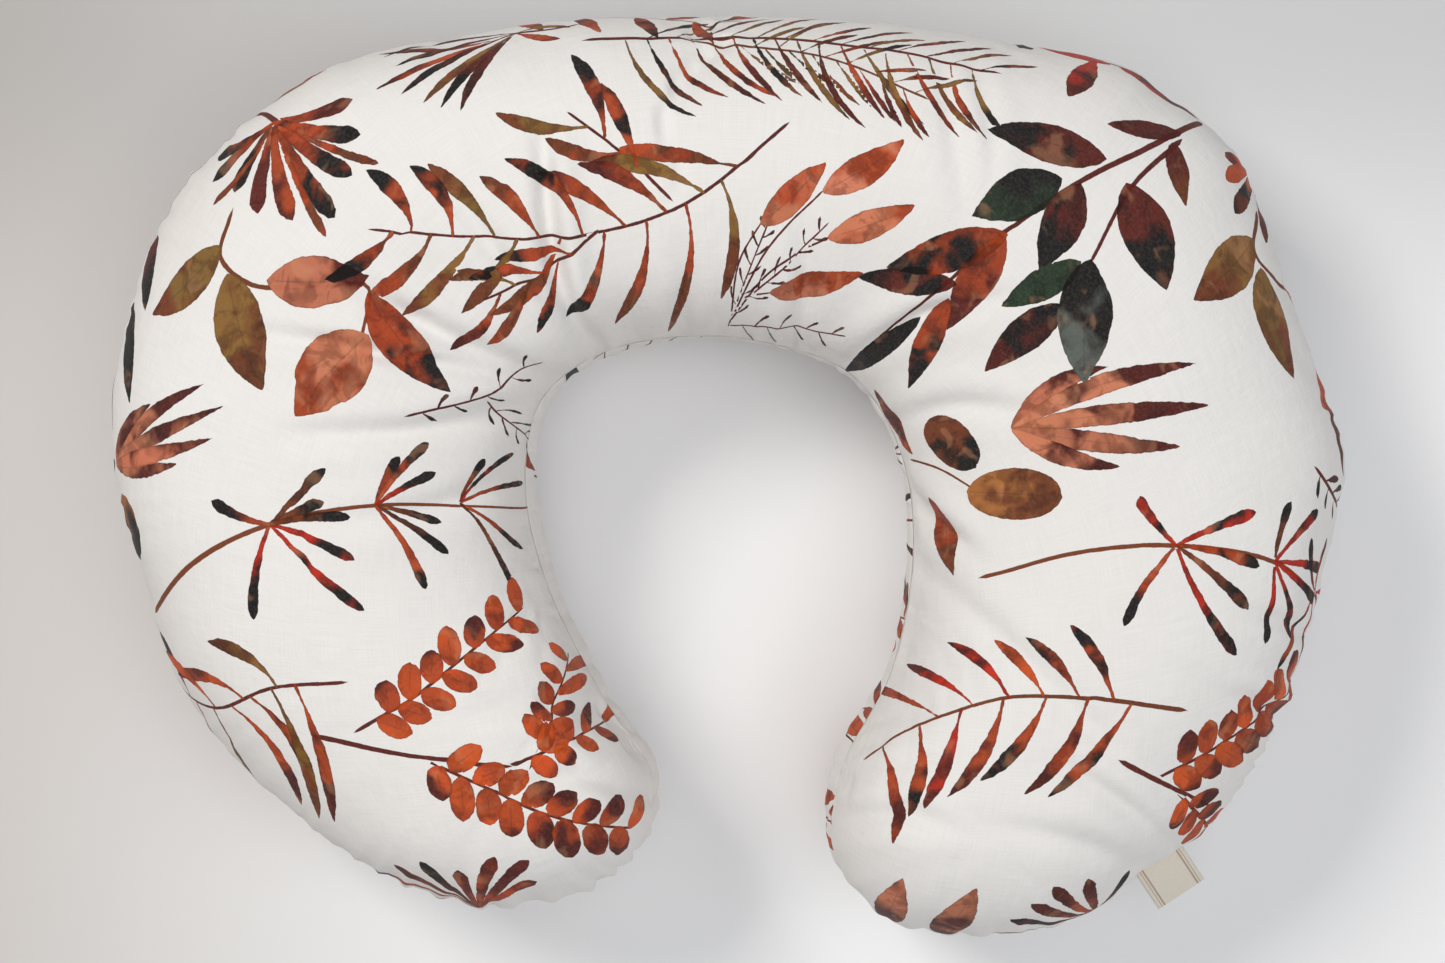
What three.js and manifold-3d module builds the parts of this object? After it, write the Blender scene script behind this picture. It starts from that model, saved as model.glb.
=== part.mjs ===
// A C-shaped nursing pillow with a removable zipped cover: two cover panels joined by a seam and a
// curved zip, an inner pillow of two liner panels, and its fibre filling.
// Millimetres, +Z up. The pillow lies flat with its opening towards -Y, and the origin is at the
// middle of its footprint.
import * as THREE from "three";
import Module from "manifold-3d";

const wasm = await Module();
wasm.setup();

// ---- Driving dimensions -------------------------------------------------------------------------

const WIDEST_HEIGHT = 73; // of the pillow's widest line above the floor
const CREST_RISE = 73; // from that line to the top of the pillow
const BELLY_DEPTH = 82; // from that line down, before the floor flattens it
const TIP_RISE_SHARE = 0.9; // how much of the rise is left over the two tips
const ROUNDNESS = 0.87; // power of the section's sines: 1 is an ellipse, less is squarer
const SEAM_HEIGHT = 62;

const PANEL_GAP = 0.3; // between the two panels at a seam
const COVER_DEPTHS = [0, 1.0]; // of each layer's outer and inner faces below the surface
const LINER_DEPTHS = [6.8, 7.6];
const FILL_DEPTH = 7.9;
const THREAD_RADIUS = 0.4;
const COVER_THREAD_DEPTH = 2.7;
const LINER_THREAD_DEPTH = 6.1;

const ZIP_RADIUS = 700; // of the back edge's arc, which the zip follows
const ZIP_CREST = 205.3; // how far in +Y that arc reaches
const ZIP_HALF_ANGLE = 12.5; // degrees
const ZIP_SLOT = 4.8; // half of the slot between the panels
const SLOT_REACH = 8; // how far the slot's cut runs to each side of the reference radius
const SLOT_END_ROOM = 0.5; // past each end of the tapes
const VALLEY = { depth: 4, halfAngle: 16 }; // how far the seam is drawn in along the zip
const ZIP_REFERENCE = 694.8; // the radius that the zip's own depths are measured from
const TAPE = { start: 0.6, end: 14, front: -2.95, back: -3.5, flare: 0.2 }; // flare: out over up
const COIL_SECTION = [[-2.2, 0.55], [-0.6, 0.55], [-0.2, 0.9], [-0.2, 1.9], [-0.6, 2.3], [-2.2, 2.3]];
const COIL_END_ROOM = 3; // from a coil's end to its tape's
const TOP_STOP = { out: [-2.3, 0.3], up: [0.5, 2.6], length: 2.2, gap: 0.3 };
const BOTTOM_STOP = { out: [-2.3, 0.3], up: [-2.7, 2.7], length: 2.4, gap: 0.3 };
const SLIDER = {
  length: 11,
  endRoom: 3.3, // from its end to the end of the coils
  inner: { out: [-4.3, -3.7], half: 4.0 }, // its two plates
  outer: { out: [0.1, 1.0], half: 4.2 },
  web: 0.25, // half of the thickness of the web between the coils
};
const ARCH = { leg: 2.3, splay: 0.6, top: 1.9, window: 1.4, rail: 0.8, width: 2.2 }; // it holds the pull
const PULL = {
  length: 24, width: 6.4, thickness: 1.1, taper: 0.8, // its tip's share of its width
  bar: 1.1, window: 2.7, rail: 1.6, eye: 1.2,
};
const PULL_AXIS_OUT = 2.8; // of the pull's axis from the reference radius

const LABEL = { width: 25, length: 22, ply: 0.5, slit: 0.6, droop: 0.5, gap: 0.6 };
const LABEL_PLACE = { at: [193, -172], turn: -56 }; // near it on the seam, and the way it points
const CARE_LABEL = { columns: [26, 27], rings: [0, 2], depths: [4.2, 4.8] };

const STATIONS = 31; // along the spine
const CAP_STEPS = 7; // round each tip
const RINGS = 6; // from a seam to the crest
const RING_CROWDING = 1.3; // a power: over 1, the rings lie closer together near the seam

// The spine runs in plan from the middle of the left leg's tip to that of the right one.
const SPINE = [
  [-97, -132], [-136, -107], [-170, -66], [-181, -11], [-172, 52], [-136, 104], [-77, 129],
  [-10, 133], [56, 129], [117, 109], [160, 63], [178, 2], [174, -57], [146, -109], [107, -145],
];

// The outline at the widest line, clockwise from the right end of the zip's arc to its left end.
const OUTLINE = [
  [193, 171], [220, 151], [240, 115], [260, 63], [275, 11], [271, -25], [258, -77], [237, -128],
  [213, -160], [188, -176], [163, -195], [110, -205], [72, -198], [48, -170], [50, -132],
  [73, -86], [82, -32], [76, 11], [55, 44], [22, 57], [-16, 61], [-57, 53], [-82, 33], [-89, -2],
  [-80, -47], [-55, -98], [-32, -136], [-39, -167], [-75, -189], [-127, -189], [-193, -152],
  [-242, -100], [-265, -36], [-275, 20], [-264, 79], [-245, 126], [-210, 163],
];

const COLOURS = {
  cover: { color: 0xe9e5df, roughness: 0.9, metalness: 0 },
  liner: { color: 0xf2f1ee, roughness: 0.92, metalness: 0 },
  fibre: { color: 0xf7f6f4, roughness: 1, metalness: 0 },
  thread: { color: 0xefece6, roughness: 0.8, metalness: 0 },
  tape: { color: 0xe8e4dc, roughness: 0.85, metalness: 0 },
  nylon: { color: 0xdfd9ce, roughness: 0.5, metalness: 0 },
  zinc: { color: 0xe2ddd3, roughness: 0.4, metalness: 0.2 },
  label: { color: 0xe4dccb, roughness: 0.8, metalness: 0 },
};

// ---- Plan: the outline, the spine and the columns between them ----------------------------------

const degrees = THREE.MathUtils.degToRad;

// A point on the zip's arc, at an angle from +Y towards +X.
function onZipArc(angle, radius = ZIP_RADIUS) {
  const a = degrees(angle);
  return new THREE.Vector3(radius * Math.sin(a), ZIP_CREST - ZIP_RADIUS + radius * Math.cos(a), 0);
}

function curveThrough(points, closed) {
  return new THREE.CatmullRomCurve3(points, closed, "centripetal");
}

const zipArc = [-15, -10, -5, 0, 5, 10, 15].map((angle) => onZipArc(angle));
const outlineKnots = [...zipArc, ...OUTLINE.map(([x, y]) => new THREE.Vector3(x, y, 0))];
const outline = curveThrough(outlineKnots, true).getSpacedPoints(900);

// The middle of the footprint, which becomes the origin.
const footprint = new THREE.Box3().setFromPoints(outline).getCenter(new THREE.Vector3());
for (const point of outline) point.sub(footprint);
const zipCentre = new THREE.Vector3(0, ZIP_CREST - ZIP_RADIUS, 0).sub(footprint);

const spine = curveThrough(
  SPINE.map(([x, y]) => new THREE.Vector3(x, y, 0).sub(footprint)),
  false,
);

// Where a ray in plan leaves the outline.
function leaves(from, way) {
  let nearest = Infinity;
  for (let i = 0; i + 1 < outline.length; i++) {
    const edge = outline[i + 1].clone().sub(outline[i]);
    const gap = outline[i].clone().sub(from);
    const cross = way.x * edge.y - way.y * edge.x;
    const along = (gap.x * edge.y - gap.y * edge.x) / cross;
    const share = (gap.x * way.y - gap.y * way.x) / cross;
    if (along > 0 && share >= 0 && share <= 1 && along < nearest) nearest = along;
  }
  return from.clone().addScaledVector(way, nearest);
}

// One column is a line across the pillow's skin: from its foot on the outline to a spine station.
function makeColumns() {
  const columns = [];
  const add = (station, way) => {
    const middle = spine.getPointAt(station / STATIONS);
    columns.push({ station, middle, foot: leaves(middle, way) });
  };
  const normal = (station) => {
    const along = spine.getTangentAt(station / STATIONS);
    return new THREE.Vector3(-along.y, along.x, 0);
  };
  const cap = (station, from, to) => {
    for (let i = 1; i < CAP_STEPS; i++) {
      const turn = THREE.MathUtils.lerp(from, to, i / CAP_STEPS);
      add(station, normal(station).applyAxisAngle(new THREE.Vector3(0, 0, 1), turn));
    }
  };
  for (let i = 0; i <= STATIONS; i++) add(i, normal(i));
  cap(STATIONS, 0, -Math.PI);
  for (let i = STATIONS; i >= 0; i--) add(i, normal(i).negate());
  cap(0, Math.PI, 0);
  return columns;
}

const columns = makeColumns();
const COLUMNS = columns.length;

// ---- The pillow's skin ---------------------------------------------------------------------------

const signedPower = (x) => Math.sign(x) * Math.abs(x) ** ROUNDNESS;

// The angle of a height on the section, from the widest line.
function angleAt(height) {
  const share = (height - WIDEST_HEIGHT) / (height > WIDEST_HEIGHT ? CREST_RISE : BELLY_DEPTH);
  return Math.asin(Math.sign(share) * Math.abs(share) ** (1 / ROUNDNESS));
}

// How far a column's foot is from the zip's middle, in degrees of its arc, if it is on the back.
function zipAngle(column) {
  const from = column.foot.clone().sub(zipCentre);
  return from.y > ZIP_RADIUS * 0.9 ? THREE.MathUtils.radToDeg(Math.atan2(from.x, from.y)) : 180;
}

// A point of the skin on a column, at an angle from the widest line up to the crest or down.
function skinPoint(column, angle) {
  const along = column.station / STATIONS;
  const rise = THREE.MathUtils.lerp(TIP_RISE_SHARE, 1, Math.sin(Math.PI * along) ** 0.5);
  const depth = angle > 0 ? CREST_RISE * rise : BELLY_DEPTH;
  const point = column.middle.clone().lerp(column.foot, Math.cos(angle) ** ROUNDNESS);
  point.z = Math.max(0, WIDEST_HEIGHT + depth * signedPower(Math.sin(angle)));
  return point;
}

// A point of the seam's edge on a column, drawn in along the zip.
function edgePoint(column, angle) {
  const point = skinPoint(column, angle);
  if (Math.abs(zipAngle(column)) > VALLEY.halfAngle) return point;
  const inwards = column.middle.clone().sub(column.foot).setLength(VALLEY.depth);
  return point.add(inwards);
}

// A half skin's vertices and faces, from its edge, ring 0, to the crest. side is 1 above, -1 below.
function halfSkin(side) {
  const points = [];
  const edge = angleAt(SEAM_HEIGHT + (side * PANEL_GAP) / 2);
  for (const column of columns) {
    points.push(edgePoint(column, edge));
    for (let ring = 1; ring < RINGS; ring++) {
      const share = (ring / RINGS) ** RING_CROWDING;
      points.push(skinPoint(column, THREE.MathUtils.lerp(edge, (side * Math.PI) / 2, share)));
    }
  }
  for (let station = 0; station <= STATIONS; station++) {
    const column = columns[station];
    points.push(skinPoint(column, (side * Math.PI) / 2));
  }
  const at = (index, ring) => {
    const column = index % COLUMNS;
    return ring < RINGS ? column * RINGS + ring : COLUMNS * RINGS + columns[column].station;
  };
  const faces = [];
  const face = (a, b, c) => {
    if (new Set([a, b, c]).size === 3) faces.push(side > 0 ? [a, b, c] : [a, c, b]);
  };
  for (let column = 0; column < COLUMNS; column++) {
    for (let ring = 0; ring < RINGS; ring++) {
      const [a, b] = [at(column, ring), at(column + 1, ring)];
      const [c, d] = [at(column + 1, ring + 1), at(column, ring + 1)];
      face(a, c, b);
      face(a, d, c);
    }
  }
  const rim = columns.map((_, column) => at(column, 0));
  return { points, faces, rim };
}

function geometryOf(points, faces) {
  const geometry = new THREE.BufferGeometry().setFromPoints(points);
  geometry.setIndex(faces.flat());
  geometry.computeVertexNormals();
  return geometry;
}

// The same points moved inwards by a depth, along the skin's own normals, and level at the rim.
function sunk({ points, faces, rim }, depth) {
  const normals = geometryOf(points, faces).getAttribute("normal");
  const level = new Set(rim);
  return points.map((point, i) => {
    const normal = new THREE.Vector3().fromBufferAttribute(normals, i);
    if (level.has(i)) normal.setZ(0).normalize();
    return point.clone().addScaledVector(normal, -depth);
  });
}

// A panel: the half skin between two depths, closed along its rim.
function panel(side, [outer, inner]) {
  const skin = halfSkin(side);
  const points = [...sunk(skin, outer), ...sunk(skin, inner)];
  const count = skin.points.length;
  const faces = [...skin.faces];
  for (const [a, b, c] of skin.faces) faces.push([a + count, c + count, b + count]);
  closeRim(faces, skin.rim, count, side);
  return geometryOf(points, faces);
}

function closeRim(faces, rim, count, side) {
  rim.forEach((a, i) => {
    const b = rim[(i + 1) % rim.length];
    const strip = [[a, b, b + count], [a, b + count, a + count]];
    for (const [p, q, r] of strip) faces.push(side > 0 ? [p, q, r] : [p, r, q]);
  });
}

// The filling: both half skins, sunk, with one rim between them.
function filling(depth) {
  const [upper, lower] = [halfSkin(1), halfSkin(-1)];
  const count = upper.points.length;
  const points = [...sunk(upper, depth), ...sunk(lower, depth)];
  const faces = [...upper.faces, ...lower.faces.map((f) => f.map((i) => i + count))];
  closeRim(faces, upper.rim, count, 1);
  return geometryOf(points, faces);
}

// A patch of cloth lying under the skin, over a span of columns and rings and between two depths.
function patch(side, { columns: [first, last], rings: [low, high], depths: [outer, inner] }) {
  const skin = halfSkin(side);
  const rows = [sunk(skin, outer), sunk(skin, inner)];
  const section = (column) => {
    const ring = (layer, index) => rows[layer][column * RINGS + index];
    const points = [];
    for (let i = low; i <= high; i++) points.push(ring(0, i));
    for (let i = high; i >= low; i--) points.push(ring(1, i));
    return points;
  };
  const sections = [];
  for (let column = first; column <= last; column++) sections.push(section(column));
  return loft(sections);
}

// ---- Lofts ---------------------------------------------------------------------------------------

// A closed solid through matching sections, each a list of points round one outline.
function loft(sections) {
  const count = sections[0].length;
  const faces = [];
  for (let i = 0; i + 1 < sections.length; i++) {
    for (let j = 0; j < count; j++) {
      const [a, b] = [i * count + j, i * count + ((j + 1) % count)];
      faces.push([a, b, b + count], [a, b + count, a + count]);
    }
  }
  const flat = flattened(sections[0]);
  const last = (sections.length - 1) * count;
  for (const [a, b, c] of THREE.ShapeUtils.triangulateShape(flat, [])) {
    faces.push([a, c, b], [a + last, b + last, c + last]);
  }
  const points = sections.flat();
  if (signedVolume(points, faces) < 0) for (const face of faces) face.reverse();
  return geometryOf(points, faces);
}

// A section's points in its own plane.
function flattened(section) {
  const [origin, first] = section;
  const normal = new THREE.Vector3();
  for (let i = 1; i + 1 < section.length; i++) {
    const [a, b] = [section[i].clone().sub(origin), section[i + 1].clone().sub(origin)];
    normal.add(a.cross(b));
  }
  const across = first.clone().sub(origin).normalize();
  const up = normal.normalize().clone().cross(across);
  return section.map((point) => {
    const from = point.clone().sub(origin);
    return new THREE.Vector2(from.dot(across), from.dot(up));
  });
}

function signedVolume(points, faces) {
  let six = 0;
  for (const [a, b, c] of faces) six += points[a].dot(points[b].clone().cross(points[c]));
  return six / 6;
}

// ---- Threads -------------------------------------------------------------------------------------

// A thread along a seam, sunk under the skin. It stops short of the zip where open is true.
function seamThread(depth, open) {
  const skin = halfSkin(1);
  const sunkPoints = sunk(skin, depth);
  const path = skin.rim.map((i) => sunkPoints[i].clone().setZ(SEAM_HEIGHT));
  const clear = columns.map((column) => Math.abs(zipAngle(column)) > ZIP_HALF_ANGLE);
  const first = open ? clear.lastIndexOf(false, STATIONS) + 1 : 0;
  const before = open ? clear.indexOf(false) : COLUMNS;
  const order = [];
  for (let i = first; i < (open ? COLUMNS + before : COLUMNS + first); i++) {
    order.push(path[i % COLUMNS]);
  }
  const sections = order.map((point, i) => {
    const back = order[open ? Math.max(i - 1, 0) : (i + COLUMNS - 1) % COLUMNS];
    const ahead = order[open ? Math.min(i + 1, order.length - 1) : (i + 1) % COLUMNS];
    const out = ahead.clone().sub(back).normalize().cross(new THREE.Vector3(0, 0, 1));
    return [[1, 0], [0, 1], [-1, 0], [0, -1]].map(([across, up]) =>
      point.clone().addScaledVector(out, across * THREAD_RADIUS).setZ(point.z + up * THREAD_RADIUS),
    );
  });
  return open ? loft(sections) : closedLoft(sections);
}

// A ring-shaped solid through sections that come back to the first.
function closedLoft(sections) {
  const count = sections[0].length;
  const total = sections.length * count;
  const faces = [];
  for (let i = 0; i < sections.length; i++) {
    for (let j = 0; j < count; j++) {
      const [a, b] = [i * count + j, i * count + ((j + 1) % count)];
      faces.push([a, b, (b + count) % total], [a, (b + count) % total, (a + count) % total]);
    }
  }
  const points = sections.flat();
  if (signedVolume(points, faces) < 0) for (const face of faces) face.reverse();
  return geometryOf(points, faces);
}

// ---- Zip -----------------------------------------------------------------------------------------

// A solid that follows the zip's arc. profile is a list of [out, up] from the zip's reference line.
function alongZip(profile, from, to, steps) {
  const sections = [];
  for (let i = 0; i <= steps; i++) {
    const angle = THREE.MathUtils.lerp(from, to, i / steps);
    const ring = profile.map(([out, up]) => {
      const point = onZipArc(angle, ZIP_REFERENCE + out).sub(footprint);
      return point.setZ(SEAM_HEIGHT + up);
    });
    sections.push(ring);
  }
  return loft(sections);
}

const zipDegrees = (length) => THREE.MathUtils.radToDeg(length / ZIP_REFERENCE);

// A tape's section: a strip that starts beside the coil and leans out with the panel behind it.
function tapeProfile(side) {
  const { start, end, front, back, flare } = TAPE;
  const at = (depth, up) => [depth + flare * up, side * up];
  return [at(front, start), at(front, end), at(back, end), at(back, start)];
}

function coilProfile(side) {
  return COIL_SECTION.map(([out, up]) => [out, side * up]);
}

function rectangle([near, far], [low, high]) {
  return [[near, low], [far, low], [far, high], [near, high]];
}

const COIL_HALF_ANGLE = ZIP_HALF_ANGLE - zipDegrees(COIL_END_ROOM);
const SLIDER_ANGLE = COIL_HALF_ANGLE - zipDegrees(SLIDER.length / 2 + SLIDER.endRoom);

// A stop clamped over the tapes past one end of the coils. end is 1 at the top, -1 at the bottom.
function stopGeometry({ out, up, length, gap }, end, side = 1) {
  const near = COIL_HALF_ANGLE + zipDegrees(gap);
  const far = near + zipDegrees(length);
  return alongZip(rectangle(out, up.map((height) => side * height)), end * near, end * far, 1);
}

function solidOf(geometry) {
  const index = geometry.getIndex();
  const count = geometry.getAttribute("position").count;
  const triVerts = index ? new Uint32Array(index.array) : new Uint32Array([...Array(count).keys()]);
  const mesh = new wasm.Mesh({
    numProp: 3,
    vertProperties: new Float32Array(geometry.getAttribute("position").array),
    triVerts,
  });
  mesh.merge();
  return new wasm.Manifold(mesh);
}

function geometryFrom(solid) {
  const { vertProperties, triVerts } = solid.getMesh();
  const geometry = new THREE.BufferGeometry();
  geometry.setAttribute("position", new THREE.BufferAttribute(vertProperties, 3));
  geometry.setIndex(new THREE.BufferAttribute(triVerts, 1));
  return geometry;
}

// Sets a shape on the slider: its x runs along the zip, its y up and its z out, from the pull's axis.
function placeOnZip(geometry) {
  const out = onZipArc(SLIDER_ANGLE, 1).sub(onZipArc(SLIDER_ANGLE, 0)).normalize();
  const up = new THREE.Vector3(0, 0, 1);
  const along = up.clone().cross(out);
  const place = onZipArc(SLIDER_ANGLE, ZIP_REFERENCE + PULL_AXIS_OUT).sub(footprint);
  place.z = SEAM_HEIGHT;
  const frame = new THREE.Matrix4().makeBasis(along, up, out).setPosition(place);
  return geometry.applyMatrix4(frame);
}

// The slider: two plates joined by a thin web between the coils, and the arch that holds the pull.
function sliderGeometry() {
  const { inner, outer, web, length } = SLIDER;
  const half = zipDegrees(length / 2);
  const plates = [
    [inner.out[1], -inner.half], [inner.out[0], -inner.half], [inner.out[0], inner.half],
    [inner.out[1], inner.half], [inner.out[1], web], [outer.out[0], web], [outer.out[0], outer.half],
    [outer.out[1], outer.half], [outer.out[1], -outer.half], [outer.out[0], -outer.half],
    [outer.out[0], -web], [inner.out[1], -web],
  ];
  const body = alongZip(plates, SLIDER_ANGLE - half, SLIDER_ANGLE + half, 4);
  return geometryFrom(solidOf(body).add(solidOf(placeOnZip(archGeometry()))));
}

// The arch: a bridge with rounded shoulders, which starts just under the outer plate's face.
function archGeometry() {
  const { leg, splay, top, window, rail, width } = ARCH;
  const foot = SLIDER.outer.out[1] - 0.1 - PULL_AXIS_OUT;
  const [shoulder, sill, lintel] = [top - 0.5, foot + 0.3, top - rail];
  const side = new THREE.Shape();
  side.moveTo(-leg - splay, foot).lineTo(leg + splay, foot).lineTo(leg, shoulder);
  side.quadraticCurveTo(leg - 0.2, top, window, top).lineTo(-window, top);
  side.quadraticCurveTo(-leg + 0.2, top, -leg, shoulder).closePath();
  const hole = new THREE.Path();
  hole.moveTo(-window, sill).lineTo(-window, lintel).lineTo(window, lintel);
  hole.lineTo(window, sill).closePath();
  side.holes.push(hole);
  const arch = new THREE.ExtrudeGeometry(side, { depth: width, bevelEnabled: false, curveSegments: 4 });
  return arch.translate(0, 0, -width / 2).rotateX(Math.PI / 2);
}

// The pull: a flat tab with a window, whose end bar turns inside the slider's arch.
function pullGeometry() {
  const [half, tip] = [PULL.width / 2, PULL.length - PULL.width / 2];
  const end = half * PULL.taper;
  const tab = new THREE.Shape();
  tab.moveTo(-PULL.bar / 2, -half).lineTo(tip, -end);
  tab.absarc(tip, 0, end, -Math.PI / 2, Math.PI / 2).lineTo(-PULL.bar / 2, half).closePath();
  const window = new THREE.Path();
  const [near, far] = [PULL.bar / 2, PULL.bar / 2 + PULL.window];
  window.moveTo(near, -PULL.rail).lineTo(near, PULL.rail).lineTo(far, PULL.rail);
  window.lineTo(far, -PULL.rail).closePath();
  const eye = new THREE.Path().absellipse(tip, 0, PULL.eye, PULL.eye, 0, Math.PI * 2, true);
  tab.holes.push(window, eye);
  const options = { depth: PULL.thickness, bevelEnabled: false, curveSegments: 6 };
  const geometry = new THREE.ExtrudeGeometry(tab, options);
  return placeOnZip(geometry.translate(0, 0, -PULL.thickness / 2));
}

// ---- Labels --------------------------------------------------------------------------------------

// The folded label: a hairpin of ribbon that leaves the seam and droops.
function labelGeometry() {
  const { length, ply, slit, droop, gap } = LABEL;
  const out = (outward, up) => {
    const share = outward / length;
    return new THREE.Vector2(outward, up - droop * length * share * share * 0.5);
  };
  const steps = [0, 0.33, 0.67, 1].map((share) => share * length);
  const outer = slit / 2 + ply;
  const hairpin = new THREE.Shape([
    ...steps.map((x) => out(x, outer)),
    out(length + outer * 0.9, outer * 0.4),
    out(length + outer * 0.9, -outer * 0.4),
    ...[...steps].reverse().map((x) => out(x, -outer)),
    ...steps.map((x) => out(x, -slit / 2)),
    ...[...steps].reverse().map((x) => out(x, slit / 2)),
  ]);
  const options = { depth: LABEL.width, bevelEnabled: false };
  const geometry = new THREE.ExtrudeGeometry(hairpin, options);
  geometry.translate(0, 0, -LABEL.width / 2).rotateX(Math.PI / 2);
  const way = degrees(LABEL_PLACE.turn);
  const start = nearestOnSeam(LABEL_PLACE.at);
  start.add(new THREE.Vector3(Math.cos(way), Math.sin(way), 0).multiplyScalar(gap));
  return geometry.rotateZ(way).translate(start.x, start.y, SEAM_HEIGHT);
}

// The point of the seam, to a quarter of a column, that is nearest to a place in plan.
function nearestOnSeam([x, y]) {
  const place = new THREE.Vector3(x, y, 0).sub(footprint);
  const quarters = (from, to) => [0, 0.25, 0.5, 0.75].map((share) => from.clone().lerp(to, share));
  return columns
    .flatMap(({ foot }, i) => quarters(foot, columns[(i + 1) % COLUMNS].foot))
    .reduce((best, point) => (place.distanceTo(point) < place.distanceTo(best) ? point : best));
}

// ---- The object ----------------------------------------------------------------------------------

// A cover panel, cut back from the zip's coils along its slot.
function coverPanel(side) {
  const angle = ZIP_HALF_ANGLE + zipDegrees(SLOT_END_ROOM);
  const section = rectangle([-SLOT_REACH, SLOT_REACH], [-ZIP_SLOT, ZIP_SLOT]);
  const slot = alongZip(section, -angle, angle, 12);
  return geometryFrom(solidOf(panel(side, COVER_DEPTHS)).subtract(solidOf(slot)));
}

const pillow = new THREE.Group();
pillow.name = "nursing_pillow";

function add(name, material, geometry, parent = pillow) {
  const mesh = new THREE.Mesh(geometry, new THREE.MeshStandardMaterial(COLOURS[material]));
  mesh.name = name;
  parent.add(mesh);
  return mesh;
}

add("cover_top_panel", "cover", coverPanel(1));
add("cover_bottom_panel", "cover", coverPanel(-1));
add("cover_seam_thread", "thread", seamThread(COVER_THREAD_DEPTH, true));
add("brand_label", "label", labelGeometry());

add("liner_top_panel", "liner", panel(1, LINER_DEPTHS));
add("liner_bottom_panel", "liner", panel(-1, LINER_DEPTHS));
add("liner_seam_thread", "thread", seamThread(LINER_THREAD_DEPTH, false));
add("care_label", "label", patch(-1, CARE_LABEL));
add("fibre_filling", "fibre", filling(FILL_DEPTH));

for (const [place, side] of [["upper", 1], ["lower", -1]]) {
  const [angle, coil] = [ZIP_HALF_ANGLE, COIL_HALF_ANGLE];
  add(`zip_tape_${place}`, "tape", alongZip(tapeProfile(side), -angle, angle, 20));
  add(`zip_coil_${place}`, "nylon", alongZip(coilProfile(side), -coil, coil, 20));
  add(`zip_top_stop_${place}`, "zinc", stopGeometry(TOP_STOP, 1, side));
}
add("zip_bottom_stop", "zinc", stopGeometry(BOTTOM_STOP, -1));
add("zip_slider", "zinc", sliderGeometry());
add("zip_pull", "zinc", pullGeometry());

export default pillow;
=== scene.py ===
"""Looks of the nursing pillow: a stuffed C in a leaf-printed cotton cover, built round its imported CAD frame.

Plan shapes are in millimetres and become metres when a mesh is made. The pillow's skin is one grid. Its rows
run along the C from the left tip to the right one, and its columns run across it from the inner seam over the
crest to the outer seam.
"""

import math

import bpy
import numpy as np
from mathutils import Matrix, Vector


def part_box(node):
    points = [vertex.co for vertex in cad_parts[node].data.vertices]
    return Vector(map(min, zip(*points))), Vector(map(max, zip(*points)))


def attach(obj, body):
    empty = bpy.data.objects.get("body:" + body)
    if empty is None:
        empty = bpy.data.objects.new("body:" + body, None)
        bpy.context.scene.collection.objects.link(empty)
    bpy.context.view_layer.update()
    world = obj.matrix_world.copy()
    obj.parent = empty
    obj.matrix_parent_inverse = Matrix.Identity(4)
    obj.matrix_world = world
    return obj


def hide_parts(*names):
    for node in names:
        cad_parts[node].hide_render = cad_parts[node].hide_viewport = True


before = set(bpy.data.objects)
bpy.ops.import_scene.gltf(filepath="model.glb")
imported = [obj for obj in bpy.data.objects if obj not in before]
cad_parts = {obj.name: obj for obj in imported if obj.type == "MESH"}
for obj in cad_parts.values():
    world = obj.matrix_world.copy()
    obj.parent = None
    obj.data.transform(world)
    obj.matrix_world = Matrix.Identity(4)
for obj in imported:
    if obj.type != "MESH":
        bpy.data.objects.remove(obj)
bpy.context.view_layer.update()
MM = 0.001

# ---- Driving dimensions, in millimetres ----------------------------------------------------------

WIDEST_HEIGHT = 73.0  # the section's widest line, over the floor
CREST_RISE = 73.0  # from there up to the crest
BELLY_DEPTH = 82.0  # from there down, before the floor flattens it
TIP_RISE_SHARE = 0.9  # of the crest's rise that is left at the two tips
ARC_PER_REACH = 1.42  # length over the section from seam to crest, for each unit of its reach in plan
ROUNDNESS = 0.87  # exponent of the section: 1 is an ellipse, less is squarer
ZIP_RADIUS, ZIP_CREST, ZIP_HALF_ANGLE = 700.0, 205.3, 12.5
ZIP_SLOT = 4.8  # from the seam's height to each lip of the open slot
ZIP_VALLEY = 4.0  # how far the seam is drawn in along the zip
ZIP_HEIGHT = 62.0  # the seam's own height
ZIP_REFERENCE = 694.8  # radius of the zip's own line
SEAM_TILT_OUTER, SEAM_TILT_INNER = -5.7, 5.0  # degrees from the widest line to the seam
SEAM_ALLOWANCE = 7.0
SEAM_PINCH = 1.2  # how far the seam is drawn in all round
RIM_REACH = 0.05  # share of the depth over which the pinch, and the inner layers' level rim, fade out

SPINE = [
    (-97, -132), (-136, -107), (-170, -66), (-181, -11), (-172, 52), (-136, 104), (-77, 129),
    (-10, 133), (56, 129), (117, 109), (160, 63), (178, 2), (174, -57), (146, -109), (107, -145),
]
OUTLINE = [
    (193, 171), (220, 151), (240, 115), (260, 63), (275, 11), (271, -25), (258, -77), (237, -128),
    (213, -160), (188, -176), (163, -195), (110, -205), (72, -198), (48, -170), (50, -132),
    (73, -86), (82, -32), (76, 11), (55, 44), (22, 57), (-16, 61), (-57, 53), (-82, 33), (-89, -2),
    (-80, -47), (-55, -98), (-32, -136), (-39, -167), (-75, -189), (-127, -189), (-193, -152),
    (-242, -100), (-265, -36), (-275, 20), (-264, 79), (-245, 126), (-210, 163),
]

STRIP, CAP, HALF_WIDTH = 150, 12, 14  # coarse grid steps along the spine, round a tip, and from crest to seam
REFINE = 2  # times that the coarse grid is halved


# ---- Small numeric helpers -----------------------------------------------------------------------

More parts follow.
